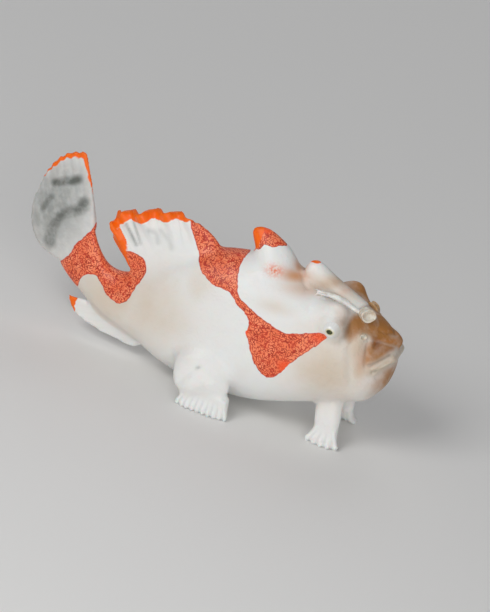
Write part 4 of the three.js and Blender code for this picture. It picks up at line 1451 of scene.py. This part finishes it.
class FROGFISH_OT_skin(bpy.types.Operator):
    """Models the fish's whole skin with its fins, spines and markings"""

    bl_idname = "frogfish.skin"
    bl_label = "Skin"

    def execute(self, context):
        sizes = context.scene.frogfish_sizes
        piece = fused_skin(sizes.fineness / MM)
        finer_head(piece)
        add_folds(piece)
        keep_on_floor(piece)
        mark_skin(piece)
        material = skin_material(context.scene.frogfish_colours)
        flesh = [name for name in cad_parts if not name.startswith(("eye", "illicium"))]
        dress(piece, material, flesh)
        return {"FINISHED"}


class FROGFISH_OT_eyes(bpy.types.Operator):
    """Models both eyes"""

    bl_idname = "frogfish.eyes"
    bl_label = "Eyes"

    def execute(self, context):
        radius = context.scene.frogfish_sizes.eye_radius / MM
        for name, side in (("right", -1), ("left", 1)):
            piece = started(
                bpy.ops.mesh.primitive_uv_sphere_add, segments=64, ring_count=40,
                radius=radius,
            )
            piece.name = f"eyeball_{name}"
            points = places_of(piece)
            points[:, 2] += 0.12 * radius * smooth_step(points[:, 2] / radius, 0.75, 1.0)
            turn = Vector((0, 0, 1)).rotation_difference(eye_aim(side)).to_matrix()
            points = points @ np.array(turn).T
            points += (EYE_PLACE[0], side * EYE_PLACE[1], EYE_PLACE[2])
            put_places(piece, points)
            material = eye_material(context.scene.frogfish_colours, side)
            dress(piece, material, [f"eye_{name}"])
        return {"FINISHED"}


class FROGFISH_OT_nostrils(bpy.types.Operator):
    """Models the tubes of the nostrils, two on each side"""

    bl_idname = "frogfish.nostrils"
    bl_label = "Nostrils"

    def execute(self, context):
        pale = clear_material("nostril_skin")
        tinted = clear_material("far_nostril_skin")
        for name, (place, size, tall, aim, is_pale) in NOSTRILS.items():
            piece = nostril_tube(size, tall)
            piece.name = f"nostril_{name}"
            turn = Vector((0, 0, 1)).rotation_difference(Vector(aim)).to_matrix()
            put_places(piece, places_of(piece) @ np.array(turn).T + place)
            dress(piece, pale if is_pale else tinted, [])
        return {"FINISHED"}


class FROGFISH_OT_lure(bpy.types.Operator):
    """Models the fishing line with its ragged lure"""

    bl_idname = "frogfish.lure"
    bl_label = "Lure"

    def execute(self, context):
        sizes = context.scene.frogfish_sizes
        radius = sizes.lure_radius / MM
        parts = [tube_along(LURE_LINE, radius * LURE_SWELL, sides=12, cuts=60)]
        draw = np.random.default_rng(7)
        for _ in range(sizes.filaments):
            start = LURE_LINE[-1] + (draw.uniform(-0.5, 0.8), 0, 0)
            start = start + draw.normal(0, 0.12, 3)
            reach = THREAD_REACH + draw.normal(0, 0.35, 3)
            reach *= draw.uniform(0.4, 0.9)
            curl = draw.normal(0, 0.12, 3)
            line = np.array([start, start + reach * 0.5 + curl, start + reach])
            parts.append(tube_along(line, THREAD_RADII, sides=7, cuts=8))
        piece = joined(parts, "lure")
        apply_modifier(piece, "REMESH", mode="VOXEL", voxel_size=0.06, adaptivity=0)
        apply_modifier(piece, "SMOOTH", factor=0.5, iterations=3)
        dress(piece, clear_material("lure_skin"), ["illicium"])
        return {"FINISHED"}


class FROGFISH_OT_stage(bpy.types.Operator):
    """Sets the floor, the lights and the camera of the photo's view"""

    bl_idname = "frogfish.stage"
    bl_label = "Stage"

    def execute(self, context):
        self.add_floor()
        self.add_lights(context)
        self.add_camera(context)
        return {"FINISHED"}

    def add_floor(self):
        bpy.ops.mesh.primitive_plane_add(size=6, location=(0, 0, 0))
        floor = bpy.context.object
        floor.name = "floor"
        material, _, shader = new_material("pale_floor", 0.8, 0.0)
        shader.inputs["Base Color"].default_value = FLOOR_COLOUR
        floor.data.materials.append(material)

    def add_lights(self, context):
        world = bpy.data.worlds.new("studio")
        world.use_nodes = True
        background = world.node_tree.nodes["Background"]
        background.inputs[0].default_value = WORLD_COLOUR
        background.inputs[1].default_value = WORLD_STRENGTH
        context.scene.world = world
        for name, place, size, power in LIGHTS:
            bpy.ops.object.light_add(type="AREA", location=place)
            light = bpy.context.object
            light.name = name
            light.data.size = size
            light.data.energy = power
            aim = Vector(LIGHTS_AIM) - Vector(place)
            light.rotation_euler = aim.to_track_quat("-Z", "Y").to_euler()

    def add_camera(self, context):
        right, up, back = view_axes()
        roll = math.radians(VIEW_ROLL)
        image_right = right * math.cos(roll) + up * math.sin(roll)
        image_up = up * math.cos(roll) - right * math.sin(roll)
        middle = np.array(PICTURE) / 2
        aside = (middle[0] - KNOWN_PIXEL[0]) * MM_PER_PIXEL
        above = (KNOWN_PIXEL[1] - middle[1]) * MM_PER_PIXEL
        target = np.array(KNOWN_PLACE) + (SHIFT_X, 0, 0) + image_right * aside + image_up * above
        bpy.ops.object.camera_add()
        camera = bpy.context.object
        camera.name = "camera"
        camera.data.sensor_width = SENSOR
        camera.data.lens = SENSOR * CAMERA_AWAY / (PICTURE[1] * MM_PER_PIXEL)
        camera.data.clip_start = 0.01
        camera.data.clip_end = 20
        axes = np.column_stack([image_right, image_up, back])
        place = (target + back * CAMERA_AWAY) * MM
        camera.matrix_world = Matrix.Translation(place) @ Matrix(axes.tolist()).to_4x4()
        context.scene.camera = camera
        context.scene.view_settings.view_transform = "Standard"


class FROGFISH_PT_panel(bpy.types.Panel):
    """The fish's pieces, sizes and colours"""

    bl_idname = "FROGFISH_PT_panel"
    bl_label = "Frogfish"
    bl_space_type = "VIEW_3D"
    bl_region_type = "UI"
    bl_category = "Frogfish"

    def draw(self, context):
        for operator in OPERATORS:
            self.layout.operator(operator.bl_idname)
        for group in (context.scene.frogfish_sizes, context.scene.frogfish_colours):
            for name in group.bl_rna.properties.keys():
                if name not in ("rna_type", "name"):
                    self.layout.prop(group, name)


OPERATORS = (
    FROGFISH_OT_stage, FROGFISH_OT_skin, FROGFISH_OT_eyes, FROGFISH_OT_nostrils,
    FROGFISH_OT_lure,
)
CLASSES = (FrogfishSizes, FrogfishColours, *OPERATORS, FROGFISH_PT_panel)


def register():
    for kind in CLASSES:
        bpy.utils.register_class(kind)
    bpy.types.Scene.frogfish_sizes = PointerProperty(type=FrogfishSizes)
    bpy.types.Scene.frogfish_colours = PointerProperty(type=FrogfishColours)


def unregister():
    del bpy.types.Scene.frogfish_colours
    del bpy.types.Scene.frogfish_sizes
    for kind in reversed(CLASSES):
        bpy.utils.unregister_class(kind)


def main():
    register()
    bpy.ops.frogfish.stage()
    bpy.ops.frogfish.skin()
    bpy.ops.frogfish.eyes()
    bpy.ops.frogfish.nostrils()
    bpy.ops.frogfish.lure()


if __name__ == "__main__":
    main()
